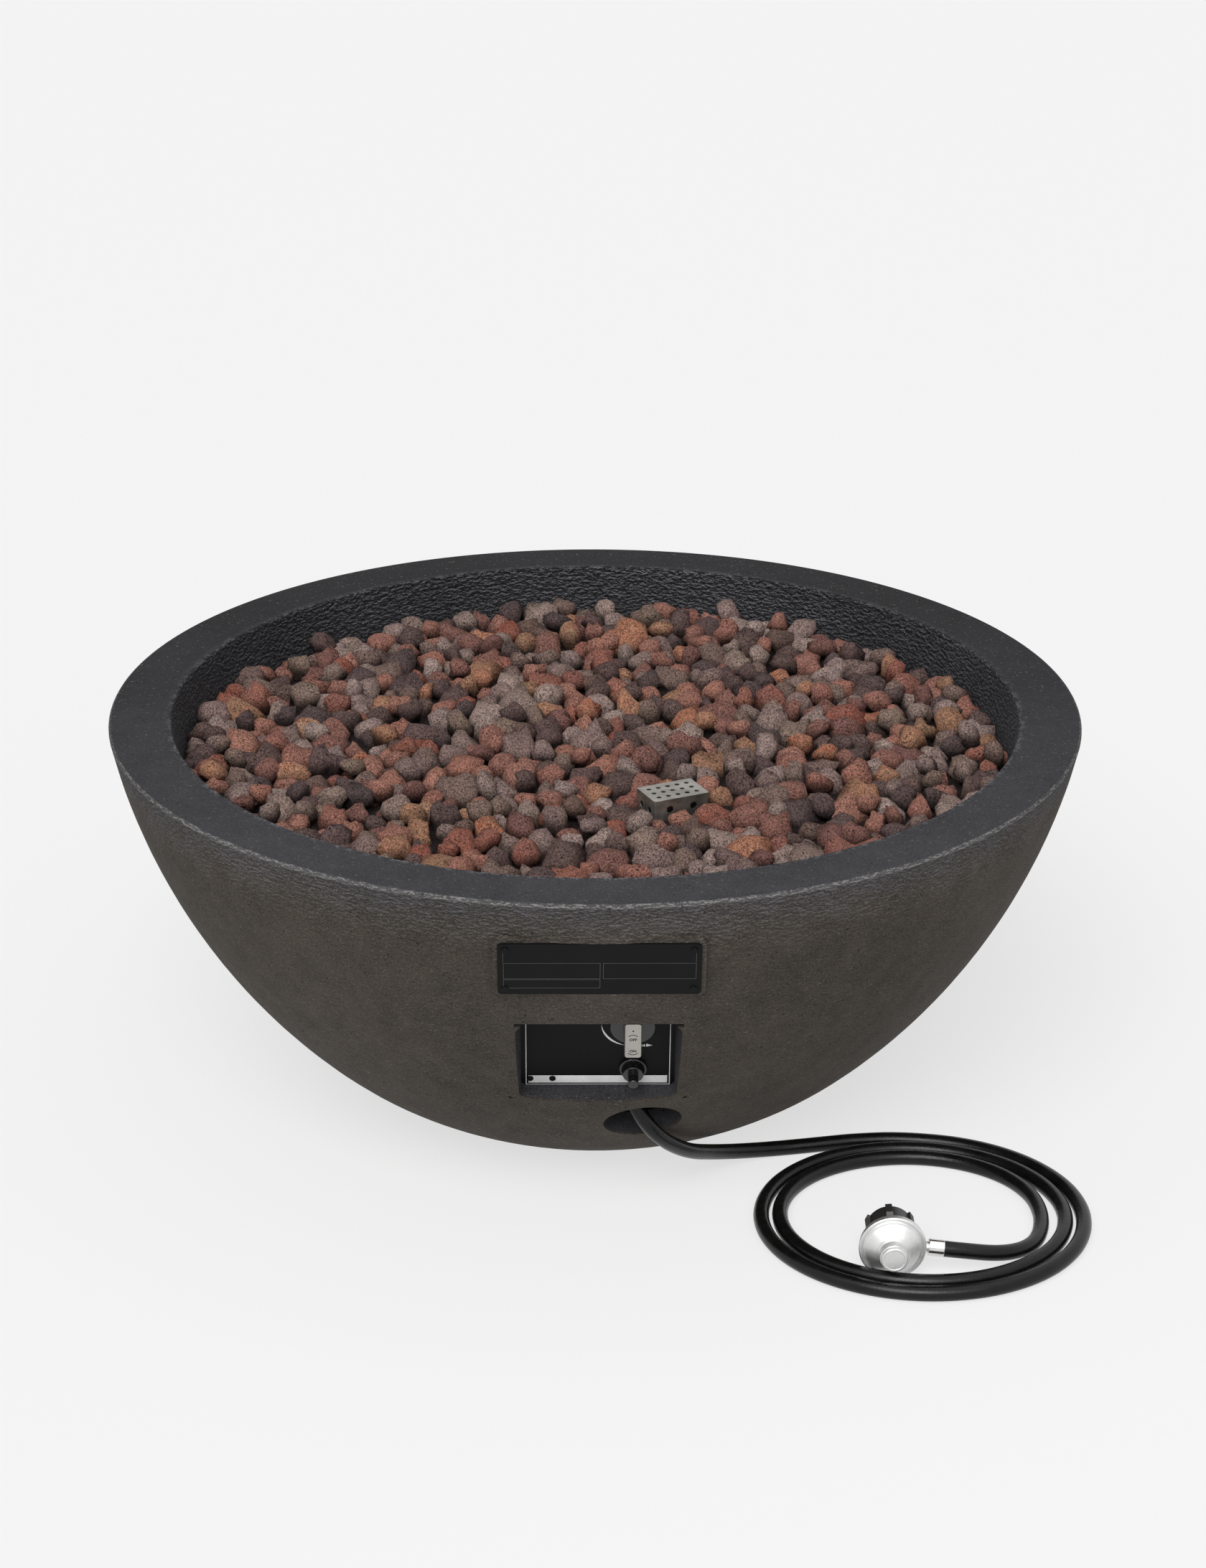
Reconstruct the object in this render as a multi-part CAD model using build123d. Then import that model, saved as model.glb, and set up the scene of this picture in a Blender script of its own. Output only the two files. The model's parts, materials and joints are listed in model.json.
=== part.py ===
from build123d import *
import math
import os
import random

os.makedirs("parts", exist_ok=True)

# Everything is in millimetres. The origin is the centre of the bowl's base on the ground,
# +Z is up and the controls face -Y.

# Bowl casting
rim_radius = 457.2
bowl_height = 381.0
rim_width = 58.7
rim_lean = 11.55
rim_tangent = 186.4
base_radius = 165.0
base_lean = 20.9
wall = 22.0
floor_thickness = 24.0
vent_radius = 90.0
rim_round = 3.0
lip_round = 2.0
ledge_drop = 56.0
ledge_width = 25.0
ledge_draft = 10.5
ledge_thickness = 22.0
ledge_flare_drop = 33.0

# Control recess and panel, in a plane that leans with the wall
panel_lean = 18.0
panel_drop = 235.8
panel_sink = 23.24
recess_half_width = 68.2
recess_low = 2.5
recess_high = 111.6
recess_draft = 6.1
recess_corner = 6.0
recess_reach = 75.0
recess_wall = 15.0
recess_frame_corner = 10.0
recess_pocket = 60.0
hood_drop = 132.0
hood_sink = 0.4
hood_slope = 26.0
hood_depth = 14.0
hood_reach = 52.0
hood_run = 30.0
panel_lap = 17.0
panel_lap_ends = 14.0
panel_thickness = 2.0
panel_corner = 5.0
panel_pocket_gap = 2.0
panel_screw_inset = 8.0
panel_screw_margin = 4.0

# Hose hole
hose_hole_radius = 35.5
hose_hole_x = 40.8
hose_hole_drop = 44.2
hose_hole_depth = 90.0

# Label plate
label_width = 174.0
label_height = 58.0
label_thickness = 2.0
label_corner = 4.0
label_drop = 67.5
label_lean = 18.6
label_sink = 3.0
label_edge_gap = 0.5
label_pad_margin = 4.0
label_pad_depth = 25.0
label_screw_inset = 6.5
label_screw_depth = 10.0

# Fixings. A screw is given by its shank radius, head radius, head height and length
screw_gap = 0.2
screw_end_gap = 2.0
screw_head_round = 0.45
label_screw = (1.5, 3.0, 1.4, label_thickness + label_screw_depth - screw_end_gap)
panel_screw_depth = 12.0
panel_screw = (2.0, 4.0, 2.6, panel_screw_depth + panel_thickness - screw_end_gap)
pan_sheet = 1.5
pan_screw_depth = 14.0
pan_screw = (2.1, 4.2, 2.4, pan_sheet + pan_screw_depth - screw_end_gap)
pan_screw_margin = 12.0
module_screw = (1.5, 2.9, 1.3, 9.0)
module_screw_x = (-60.1, -40.3)
module_screw_u = 11.1
valve_screw = (2.0, 3.6, 0.5, 9.0)
valve_screw_offset = 11.0

# Knob and gas valve, on one axis square to the panel
knob_x = 30.4
knob_u = 78.4
knob_skirt_radius = 20.0
knob_skirt_back = 3.8
knob_skirt_front = 6.0
knob_round = 0.8
knob_grip_face = 21.4
grip_width = 14.3
grip_length = 40.4
grip_plate_thickness = 1.6
grip_corner = 2.5
grip_border = 0.5
stem_radius = 3.0
stem_clear = 1.5
plug_radius = 7.5
running_gap = 0.05
valve_front = 14.0
valve_width = 30.0
valve_length = 30.0
valve_round = 4.0
magnet_radius = 9.0
magnet_length = 20.0
magnet_nut_width = 10.0
magnet_nut_length = 6.0
inlet_boss = 4.0
inlet_boss_radius = 9.0
outlet_boss = 6.0
valve_outlet_radius = 8.0
bonnet_height = 20.0
plug_depth = 26.0
plug_socket = 16.0
port_radius = 4.0
spring_radius = 5.6
spring_wall = 1.4
spring_roof = 2.5
stem_depth = 10.0
knob_bore_end = 17.0

# Spark module, behind the two small screws
module_width = 44.0
module_height = 26.0
module_depth = 16.0
module_rise = 2.0

# Push igniter
igniter_x = 31.2
igniter_u = 24.7
collar_radius = 12.5
collar_height = 3.7
barrel_radius = 8.0
barrel_length = 62.0
barrel_gap = 0.2
igniter_nut_width = 24.0
igniter_nut_length = 5.0
cap_back_radius = 10.6
cap_front_radius = 8.9
cap_front = 10.8
cap_flutes = 12
cap_flute = 2.0
button_radius = 4.8
button_front = 23.0
button_push = 4.0
battery_radius = 5.25
battery_length = 44.5
cap_neck_radius = 6.8
cap_neck_length = 4.0
cap_neck_gap = 0.2
button_well = 12.5
barrel_floor = 2.0
battery_gap = 0.2
battery_nub = 1.0
button_flange = 2.0

# Burner
seat = 0.3
pan_depth = 38.0
pan_gap = 8.0
pan_flange_gap = 2.0
burner_radius = 180.0
burner_tube = 9.5
burner_rise = 15.0
hub_radius = 18.0
stub_radius = 10.65
stub_drop = 33.0
stub_fit = 0.15
stub_hole_gap = 0.4
gas_axis_drop = 8.0
drain_circle = 250.0
drain_radius = 4.0
drain_holes = 8
hub_half = 11.0
hub_nut_width = 34.0
hub_nut_height = 8.0
burner_sheet = 1.5
arm_tube = 7.5
saddle_gap = 0.1
saddle_length = 24.0
saddle_width = 14.0
saddle_drop = 2.0
burner_ports = 24
burner_port_radius = 1.6
elbow_socket = 16.0
fitting_wall = 3.6
fitting_bore = 8.05
mixer_start = 18.0
mixer_length = 60.0
air_port_place = 0.62
air_port_width = 9.0
air_port_length = 18.0
jet_width = 20.0
jet_length = 12.0
jet_nose = 10.0
jet_nose_radius = 4.0
jet_bore = 0.9
pipe_radius = 4.75
pipe_rise = 20.0
pipe_last_run = 50.0
pipe_nut_width = 16.0
pipe_nut_length = 10.0
pipe_fit = 0.15
# The pipe's bends: share of the way from the valve to the jet, and depth below the pan
pipe_bends = [(0.068, 8.0), (0.278, 17.0), (0.667, 31.0)]

# Spark cage
cage_x = 70.0
cage_y = -129.0
cage_turn = 25.0
cage_length = 55.5
cage_width = 38.0
cage_rise = 20.0
cage_sheet = 1.0
cage_corner = 2.0
cage_hole = 2.3
cage_hole_spacing_x = 9.6
cage_hole_spacing_y = 10.5
cage_side_hole = 3.4
cage_door = 32.0
cage_gap = 1.0
electrode_x = -9.0
sensor_x = 11.0
cage_row_y = 2.0
electrode_radius = 1.0
electrode_rise = 6.0
electrode_lift = 6.0
bracket_sheet = 1.5
bracket_length = 36.0
shelf_height = 28.5
insulator_fit = 0.1
insulator_radius = 3.5
insulator_length = 30.0
sensor_radius = 3.2
sensor_length = 42.0
lead_radius = 2.2
sensor_lead_radius = 1.5
switch_lead_radius = 1.6
lead_hole_gap = 1.2
lead_drop_below_pan = 37.0
lead_turn_below_pan = 25.0

# Lava rocks
bed_rise = 5.0
bed_edge_gap = 1.5
bed_burner_gap = 3.0
bed_hub_gap = 6.0
bed_screw_gap = 1.0
bed_screw_room = 20.0
rock_spacing = 46.0
rock_gap = 1.6
rock_low = 11.0
rock_high = 19.0
rock_colours = {"lava_rocks_grey": 38, "lava_rocks_dark": 26, "lava_rocks_red": 22, "lava_rocks_rust": 14}

# Hose and coil
hose_radius = 7.2
floor_gap = 0.1
coil_start_x = 291.0
coil_start_y = -314.8
coil_half_x = 154.7
coil_half_y = 150.2
coil_pitch_x = 16.8
coil_pitch_y = 18.7
coil_tuck = 6.0
coil_exit_turn = 6.0
coil_drift_x = 0.25
coil_drift_y = 1.6
coil_quarters = 9
hose_z = hose_radius + floor_gap
lead_drop = 44.0
lead_points = [(44.5, -313.0, 96.5), (78.0, -272.5, 52.5), (114.0, -217.0, 22.5), (160.0, -182.5, hose_z),
               (205.0, -173.5, hose_z)]
lead_last_run = 31.5
tail_first_run = 26.0
tail_points = [(384.0, -378.0, 9.4), (358.0, -398.0, 15.0)]
tail_last_run = 16.0
elbow_radius = 6.5
elbow_swing = 10.0
elbow_drop = 16.0
hose_nut_length = 12.0
valve_ferrule_length = 16.0

# Regulator, standing on its rim with its axis along Y
reg_x = 260.1
reg_y = -414.0
reg_z = 30.3
bonnet_radius = 30.0
bonnet_neck_radius = 12.5
reg_cap_radius = 11.6
reg_cap_front = 23.5
body_radius = 27.0
body_back = 14.0
nut_radius = 20.8
nut_lug_height = 2.6
nut_length = 25.0
nut_front = 14.6
nut_bore = 15.5
nut_lugs = 6
nut_lug_width = 6.0
nut_lug_phase = 34.0
nut_web = 3.5
nipple_tip_radius = 6.5
seal_back = 2.0
bonnet_lip = 2.5
neck_top = 19.0
outlet_boss_radius = 4.8
nipple_radius = 8.2
outlet_back = 8.5
outlet_dip = 7.0
outlet_end = 32.4
ferrule_length = 14.0
ferrule_radius = 7.7

# Places that follow from the sizes above
ledge_height = bowl_height - ledge_drop
ledge_outer = rim_radius - rim_width - ledge_draft
ledge_inner = ledge_outer - ledge_width
panel_foot_z = bowl_height - panel_drop
hood_z = bowl_height - hood_drop
hose_hole_z = panel_foot_z - hose_hole_drop
label_mid_z = bowl_height - label_drop
pan_radius = ledge_inner - pan_gap
pan_screw_circle = ledge_inner + pan_screw_margin
pan_floor_z = ledge_height - pan_depth
burner_z = pan_floor_z + burner_rise
stub_bottom = pan_floor_z - stub_drop
gas_axis_z = stub_bottom - gas_axis_drop
electrode_bottom = pan_floor_z + electrode_lift
bed_top = ledge_height + bed_rise
cage_top = bed_top + cage_rise


def save(name, shape):
    """Write one piece to its own file."""
    export_step(shape, "parts/" + name + ".step")
    print(name, "volume", round(shape.volume, 1))


def arc_on(centre, radius, start_deg, end_deg):
    """Circular arc in the XZ plane about a centre."""
    def at(angle):
        a = math.radians(angle)
        return (centre[0] + radius * math.cos(a), 0, centre[1] + radius * math.sin(a))
    return ThreePointArc(at(start_deg), at((start_deg + end_deg) / 2), at(end_deg))


def at_polar(centre, radius, angle):
    a = math.radians(angle)
    return (centre[0] + radius * math.cos(a), centre[1] + radius * math.sin(a))


def wall_arcs():
    """Two tangent arcs from the rim down to the base: their radii and the point where they join."""
    down = Vector(-math.sin(math.radians(rim_lean)), -math.cos(math.radians(rim_lean)))
    inward = Vector(-math.cos(math.radians(base_lean)), -math.sin(math.radians(base_lean)))
    span = Vector(base_radius - rim_radius, -bowl_height)
    base_tangent = (span.dot(span) - 2 * rim_tangent * span.dot(down)) / (
        2 * (span.dot(inward) + rim_tangent * (1 - down.dot(inward))))
    upper = Vector(rim_radius, bowl_height) + down * rim_tangent
    lower = Vector(base_radius, 0) - inward * base_tangent
    middle = (lower - upper).normalized()
    meeting = upper + middle * rim_tangent
    upper_turn = math.radians(down.get_angle(middle))
    lower_turn = math.radians(middle.get_angle(inward))
    return rim_tangent / math.tan(upper_turn / 2), base_tangent / math.tan(lower_turn / 2), meeting


# The outer wall is one long arc that runs tangent into a smaller arc down to the base.
wall_arc_radius, foot_arc_radius, join = wall_arcs()
rim_angle = -rim_lean
base_angle = base_lean - 90
wall_centre = at_polar((rim_radius, bowl_height), wall_arc_radius, rim_angle + 180)
join_angle = math.degrees(math.atan2(join.Y - wall_centre[1], join.X - wall_centre[0]))
foot_centre = at_polar((base_radius, 0), foot_arc_radius, base_angle + 180)


def outer_arc(z):
    """Centre and radius of the arc that the outside follows at a height."""
    if z >= join.Y:
        return wall_centre, wall_arc_radius
    return foot_centre, foot_arc_radius


def outer_slope(z):
    """Angle below level at which the outside faces, at a height."""
    centre, radius = outer_arc(z)
    return math.asin((centre[1] - z) / radius)


def outer_r(z):
    """Radius of the outside of the bowl at a height."""
    centre, radius = outer_arc(z)
    return centre[0] + radius * math.cos(outer_slope(z))


def panel_plane():
    t = math.radians(panel_lean)
    foot_y = panel_sink - outer_r(panel_foot_z)
    return Plane(origin=(0, foot_y, panel_foot_z), x_dir=(1, 0, 0), z_dir=(0, -math.cos(t), -math.sin(t)))


def label_plane():
    t = math.radians(label_lean)
    depth = outer_r(label_mid_z) - label_sink
    return Plane(origin=(0, -depth, label_mid_z), x_dir=(1, 0, 0), z_dir=(0, -math.cos(t), -math.sin(t)))


panel = panel_plane()
label = label_plane()


def on_panel(shape, x=0.0, u=0.0, d=0.0):
    """Place a shape drawn square to +Z onto the panel, d outwards from its face."""
    return panel * Pos(x, u, d) * shape


def panel_point(x, u, d):
    return panel.from_local_coords(Vector(x, u, d))


def tube(outer, inner, length):
    return Cylinder(outer, length, align=(Align.CENTER, Align.CENTER, Align.MIN)) - Cylinder(
        inner, length, align=(Align.CENTER, Align.CENTER, Align.MIN))


def rod(radius, length):
    return Cylinder(radius, length, align=(Align.CENTER, Align.CENTER, Align.MIN))


def hex_nut(across, length, bore):
    body = extrude(RegularPolygon(across / 2, 6, major_radius=False), length)
    return body - rod(bore, length) if bore else body


def round_screw(radius, head_radius, head_height, length):
    """Screw with its head underside at z=0, pointing down."""
    head = rod(head_radius, head_height)
    top = head.edges().filter_by(GeomType.CIRCLE).group_by(Axis.Z)[-1]
    head = fillet(top, head_height * screw_head_round)
    return head + Pos(0, 0, -length) * rod(radius, length)


def group(parts):
    return Compound(children=parts)


def bowl_shell():
    outside = [
        Line((0, 0, 0), (base_radius, 0, 0)),
        arc_on(foot_centre, foot_arc_radius, base_angle, join_angle),
        arc_on(wall_centre, wall_arc_radius, join_angle, rim_angle),
        Line((rim_radius, 0, bowl_height), (0, 0, bowl_height)),
        Line((0, 0, bowl_height), (0, 0, 0)),
    ]
    solid = revolve(make_face(outside), Axis.Z)
    rim_inner = rim_radius - rim_width
    inner_arc = wall_arc_radius - wall
    flare_z = ledge_height - ledge_thickness - ledge_flare_drop
    flare_angle = -math.degrees(math.asin((wall_centre[1] - flare_z) / inner_arc))
    flare = at_polar(wall_centre, inner_arc, flare_angle)
    inner_join = at_polar(wall_centre, inner_arc, join_angle)
    foot_inner = foot_arc_radius - wall
    floor_angle = -math.degrees(math.asin((foot_centre[1] - floor_thickness) / foot_inner))
    floor_edge = at_polar(foot_centre, foot_inner, floor_angle)
    inside = [
        Line((0, 0, floor_thickness), (floor_edge[0], 0, floor_thickness)),
        arc_on(foot_centre, foot_inner, floor_angle, join_angle),
        arc_on(wall_centre, inner_arc, join_angle, flare_angle),
        Line((flare[0], 0, flare[1]), (ledge_inner, 0, ledge_height - ledge_thickness)),
        Line((ledge_inner, 0, ledge_height - ledge_thickness), (ledge_inner, 0, ledge_height)),
        Line((ledge_inner, 0, ledge_height), (ledge_outer, 0, ledge_height)),
        Line((ledge_outer, 0, ledge_height), (rim_inner, 0, bowl_height)),
        Line((rim_inner, 0, bowl_height), (0, 0, bowl_height)),
        Line((0, 0, bowl_height), (0, 0, floor_thickness)),
    ]
    shell = solid - revolve(make_face(inside), Axis.Z)
    shell -= rod(vent_radius, floor_thickness)
    rim_edges = shell.edges().filter_by(GeomType.CIRCLE).group_by(Axis.Z)[-1].sort_by(SortBy.RADIUS)
    shell = fillet(rim_edges[-1], rim_round)
    lips = shell.edges().filter_by(GeomType.CIRCLE).group_by(Axis.Z)[-1]
    shell = fillet(lips.sort_by(SortBy.RADIUS)[0], lip_round)

    # A boxed frame carries the control panel behind the recess.
    mid_u = (recess_low + recess_high) / 2
    tall = recess_high - recess_low
    frame_block = extrude(RectangleRounded(2 * (recess_half_width + recess_wall), tall + 2 * recess_wall,
                                           recess_frame_corner), recess_reach)
    shell += on_panel(frame_block, 0, mid_u, 0) & solid
    behind = Box(2 * (recess_half_width + panel_lap + panel_pocket_gap),
                 tall + 2 * (panel_lap_ends + panel_pocket_gap), recess_pocket,
                 align=(Align.CENTER, Align.CENTER, Align.MAX))
    shell -= on_panel(behind, 0, mid_u, 0)
    outline = RectangleRounded(2 * recess_half_width, tall, recess_corner)
    opening = extrude(outline, recess_reach, taper=-recess_draft)
    shell -= on_panel(opening, 0, mid_u, 0)
    slope = math.tan(math.radians(hood_slope))
    hood_y = hood_sink - outer_r(hood_z)
    hood = make_face(Polyline((0, hood_y + hood_depth, hood_z - slope * hood_depth),
                              (0, hood_y - hood_run, hood_z + slope * hood_run),
                              (0, hood_y - hood_run, hood_z - hood_run), close=True))
    hood_half = recess_half_width + math.tan(math.radians(recess_draft)) * hood_reach
    shell -= Pos(-hood_half, 0, 0) * extrude(hood, 2 * hood_half, dir=(1, 0, 0))

    # Round hose hole, drilled square to the wall.
    shell -= hose_hole(hose_hole_radius)

    # Flat pad for the label plate.
    pad = extrude(RectangleRounded(label_width + 2 * label_pad_margin, label_height + 2 * label_pad_margin,
                                   label_corner + label_pad_margin), -label_pad_depth)
    shell += label * pad
    niche = extrude(RectangleRounded(label_width + 2 * label_edge_gap, label_height + 2 * label_edge_gap,
                                     label_corner + label_edge_gap), label_pad_depth)
    shell -= label * niche
    for x, u in label_screw_places():
        shell -= label * Pos(x, u, -label_screw_depth) * rod(label_screw[0] + screw_gap, label_screw_depth)
    for x, u in panel_screw_places():
        shell -= on_panel(rod(panel_screw[0] + screw_gap, panel_screw_depth), x, u, 0)
    for x, y in pan_screw_places():
        shell -= Pos(x, y, ledge_height - pan_screw_depth) * rod(pan_screw[0] + screw_gap, pan_screw_depth)
    return shell


def hose_hole(radius):
    r = outer_r(hose_hole_z)
    azimuth = math.asin(hose_hole_x / r)
    out = outer_slope(hose_hole_z)
    normal = (math.cos(out) * math.sin(azimuth), -math.cos(out) * math.cos(azimuth), -math.sin(out))
    centre = (hose_hole_x, -math.sqrt(r ** 2 - hose_hole_x ** 2), hose_hole_z)
    return Plane(origin=centre, z_dir=normal) * Cylinder(radius, hose_hole_depth)


def label_screw_places():
    x = label_width / 2 - label_screw_inset
    u = label_height / 2 - label_screw_inset
    return [(sx * x, su * u) for sx in (-1, 1) for su in (-1, 1)]


def label_plate():
    plate = extrude(RectangleRounded(label_width, label_height, label_corner), label_thickness)
    for x, u in label_screw_places():
        plate -= Pos(x, u, 0) * rod(label_screw[0] + screw_gap, label_thickness)
    return label * plate


def label_screws():
    one = round_screw(*label_screw)
    return group([label * Pos(x, u, label_thickness) * one for x, u in label_screw_places()])


def control_panel():
    half_w = recess_half_width + panel_lap
    low = recess_low - panel_lap_ends
    high = recess_high + panel_lap_ends
    plate = extrude(RectangleRounded(2 * half_w, high - low, panel_corner), -panel_thickness)
    plate = Pos(0, (low + high) / 2, 0) * plate
    holes = [(knob_x, knob_u, stem_radius + stem_clear), (igniter_x, igniter_u, barrel_radius + barrel_gap)]
    holes += [(x, u, panel_screw[0] + screw_gap) for x, u in panel_screw_places()]
    holes += [(x, u, module_screw[0] + screw_gap) for x, u in module_screw_places()]
    holes += [(x, u, valve_screw[0] + screw_gap) for x, u in valve_screw_places()]
    for x, u, radius in holes:
        plate -= Pos(x, u, -panel_thickness) * rod(radius, panel_thickness)
    return panel * plate


def panel_screw_places():
    x = recess_half_width + panel_lap - panel_screw_inset
    levels = (recess_low - panel_screw_margin, recess_high + panel_screw_margin)
    return [(side * x, u) for side in (-1, 1) for u in levels]


def module_screw_places():
    return [(x, module_screw_u) for x in module_screw_x]


def valve_screw_places():
    return [(knob_x - valve_screw_offset, knob_u), (knob_x + valve_screw_offset, knob_u)]


def pan_screw_places():
    return [at_polar((0, 0), pan_screw_circle, 45 + 90 * i) for i in range(4)]


def panel_screws():
    one = Rot(180, 0, 0) * round_screw(*panel_screw)
    return group([on_panel(one, x, u, -panel_thickness) for x, u in panel_screw_places()])


def module_screws():
    one = round_screw(*module_screw)
    return group([on_panel(one, x, u, 0) for x, u in module_screw_places()])


def valve_screws():
    one = round_screw(*valve_screw)
    return group([on_panel(one, x, u, 0) for x, u in valve_screw_places()])


module_mid = sum(module_screw_x) / 2
module_u = module_screw_u + module_rise


def spark_module():
    block = extrude(RectangleRounded(module_width, module_height, 3), -module_depth)
    block = fillet(block.faces().sort_by(Axis.Z)[0].edges(), 2)
    block = Pos(module_mid, module_u, -panel_thickness) * block
    for x, u in module_screw_places():
        block -= Pos(x, u, -module_screw[3] - screw_gap) * rod(module_screw[0] + screw_gap, module_screw[3])
    return panel * block


# Gas valve and knob, drawn with the knob's axis on local Z
def on_valve(shape):
    return on_panel(shape, knob_x, knob_u, 0)


valve_mid = -(valve_front + valve_length / 2)


def valve_body():
    body = Box(valve_width, valve_width, valve_length, align=(Align.CENTER, Align.CENTER, Align.MAX))
    body = fillet(body.edges().filter_by(Axis.Z), valve_round)
    body = Pos(0, 0, -valve_front) * body
    centre = (0, 0, valve_mid)
    ways = (((-1, 0, 0), inlet_boss_radius, inlet_boss), ((0, 1, 0), valve_outlet_radius, outlet_boss))
    for way, radius, boss in ways:
        body += Plane(origin=centre, z_dir=way) * rod(radius, valve_width / 2 + boss)
    body -= Pos(0, 0, -valve_front - plug_depth) * rod(plug_radius + running_gap, plug_depth)
    for way, radius, boss in ways:
        body -= Plane(origin=centre, z_dir=way) * rod(port_radius, valve_width / 2 + boss)
    return on_valve(body)


def valve_bonnet():
    depth = valve_front - panel_thickness
    body = extrude(RectangleRounded(valve_width + 2, bonnet_height, valve_round), -depth)
    body = Pos(0, 0, -panel_thickness) * body
    body -= Pos(0, 0, -valve_front) * rod(stem_radius + seat, depth)
    body -= Pos(0, 0, -valve_front) * rod(spring_radius + seat, depth - spring_roof)
    for x, u in valve_screw_places():
        hole = rod(valve_screw[0] + screw_gap, valve_screw[3] + seat)
        body -= Pos(x - knob_x, 0, -valve_screw[3] - seat) * hole
    return on_valve(body)


def stem_spring():
    length = valve_front - panel_thickness - spring_roof - 2 * seat
    coil = tube(spring_radius, spring_radius - spring_wall, length)
    return on_valve(Pos(0, 0, -valve_front + seat) * coil)


def valve_plug():
    length = plug_depth - 2 * seat
    plug = Pos(0, 0, -valve_front - plug_depth + seat) * rod(plug_radius, length)
    plug -= Pos(0, 0, -valve_front - plug_socket) * rod(stem_radius + running_gap, plug_depth)
    plug -= Plane(origin=(0, 0, valve_mid), z_dir=(0, 1, 0)) * rod(port_radius - 1, valve_width)
    return on_valve(plug)


def valve_stem():
    start = -valve_front - stem_depth
    return on_valve(Pos(0, 0, start) * rod(stem_radius, knob_bore_end - seat - start))


def magnet_unit():
    back = -valve_front - valve_length
    body = Pos(0, 0, back - magnet_length) * rod(magnet_radius, magnet_length)
    body = chamfer(body.edges().sort_by(Axis.Z)[0], 2)
    nut = hex_nut(magnet_nut_width, magnet_nut_length, 0)
    nut = Pos(0, 0, back - magnet_length - magnet_nut_length) * nut
    return on_valve(body + nut)


def knob():
    skirt = Pos(0, 0, knob_skirt_back) * rod(knob_skirt_radius, knob_skirt_front - knob_skirt_back)
    skirt = fillet(skirt.edges().filter_by(GeomType.CIRCLE).sort_by(Axis.Z)[-1], knob_round)
    border = 2 * grip_border
    outline = RectangleRounded(grip_width + border, grip_length + border, grip_corner + grip_border)
    bar = extrude(outline, knob_grip_face - knob_skirt_front)
    bar = Pos(0, 0, knob_skirt_front) * bar
    body = skirt + bar
    body -= Pos(0, 0, knob_skirt_back) * rod(stem_radius + running_gap, knob_bore_end - knob_skirt_back)
    return on_valve(body)


def knob_grip_plate():
    plate = extrude(RectangleRounded(grip_width, grip_length, grip_corner), grip_plate_thickness)
    top = plate.faces().sort_by(Axis.Z)[-1].edges()
    plate = fillet(top, 0.5)
    return on_valve(Pos(0, 0, knob_grip_face) * plate)


# Push igniter, drawn on its own axis
def on_igniter(shape):
    return on_panel(shape, igniter_x, igniter_u, 0)


def igniter_barrel():
    body = Pos(0, 0, -barrel_length) * rod(barrel_radius, barrel_length)
    collar = fillet(rod(collar_radius, collar_height).edges().sort_by(Axis.Z)[-1], 1.2)
    body += collar
    body -= Pos(0, 0, -button_well) * rod(cap_neck_radius + cap_neck_gap, button_well + collar_height)
    body -= Pos(0, 0, -barrel_length + barrel_floor) * rod(battery_radius + battery_gap, barrel_length)
    return on_igniter(body)


def igniter_nut():
    nut = hex_nut(igniter_nut_width, igniter_nut_length, barrel_radius + barrel_gap / 2)
    return on_igniter(Pos(0, 0, -panel_thickness - igniter_nut_length) * nut)


battery_foot = -barrel_length + barrel_floor + seat


def battery():
    cell = rod(battery_radius, battery_length - battery_nub)
    cell += Pos(0, 0, battery_length - battery_nub) * rod(1.9, battery_nub)
    return on_igniter(Pos(0, 0, battery_foot) * cell)


def igniter_cap():
    high = cap_front - collar_height
    cone = Pos(0, 0, collar_height) * Cone(cap_back_radius, cap_front_radius, high,
                                           align=(Align.CENTER, Align.CENTER, Align.MIN))
    cone = fillet(cone.edges().sort_by(Axis.Z)[-1], 0.8)
    flute = Box(cap_flute, cap_flute, high * 0.8)
    flute = Pos(cap_back_radius + cap_flute / 5, 0, collar_height + high * 0.4) * flute
    for i in range(cap_flutes):
        cone -= Rot(0, 0, 360 / cap_flutes * i) * flute
    neck = Pos(0, 0, -cap_neck_length) * rod(cap_neck_radius, cap_neck_length + collar_height)
    body = cone + neck
    body -= Pos(0, 0, -cap_neck_length) * rod(button_radius + running_gap, cap_neck_length + cap_front)
    return on_igniter(body)


def igniter_button():
    back = -cap_neck_length - seat
    stem = Pos(0, 0, back) * rod(button_radius, button_front - back)
    stem = fillet(stem.edges().sort_by(Axis.Z)[-1], 1.6)
    groove = Pos(0, 0, button_front - 5) * tube(button_radius + 1, button_radius - 0.6, 1)
    flange = Pos(0, 0, back - button_flange) * rod(button_radius + 1.1, button_flange)
    return on_igniter(stem - groove + flange)


def button_spring():
    foot = battery_foot + battery_length - battery_nub + seat
    top = -cap_neck_length - seat - button_flange - button_push - seat
    return on_igniter(Pos(0, 0, foot) * tube(4.2, 3.2, top - foot))


# Gas supply at the valve
def elbow_centre():
    return (knob_x - valve_width / 2 - inlet_boss - elbow_radius - 2, knob_u, valve_mid)


def elbow_outlet(distance):
    """Plane across the elbow's outlet, a distance below its ball."""
    x, u, d = elbow_centre()
    swing = math.radians(elbow_swing)
    way = (math.sin(swing), -math.cos(swing), 0)
    spot = (x + way[0] * distance, u + way[1] * distance, d)
    return Plane(origin=spot, z_dir=way)


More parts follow.
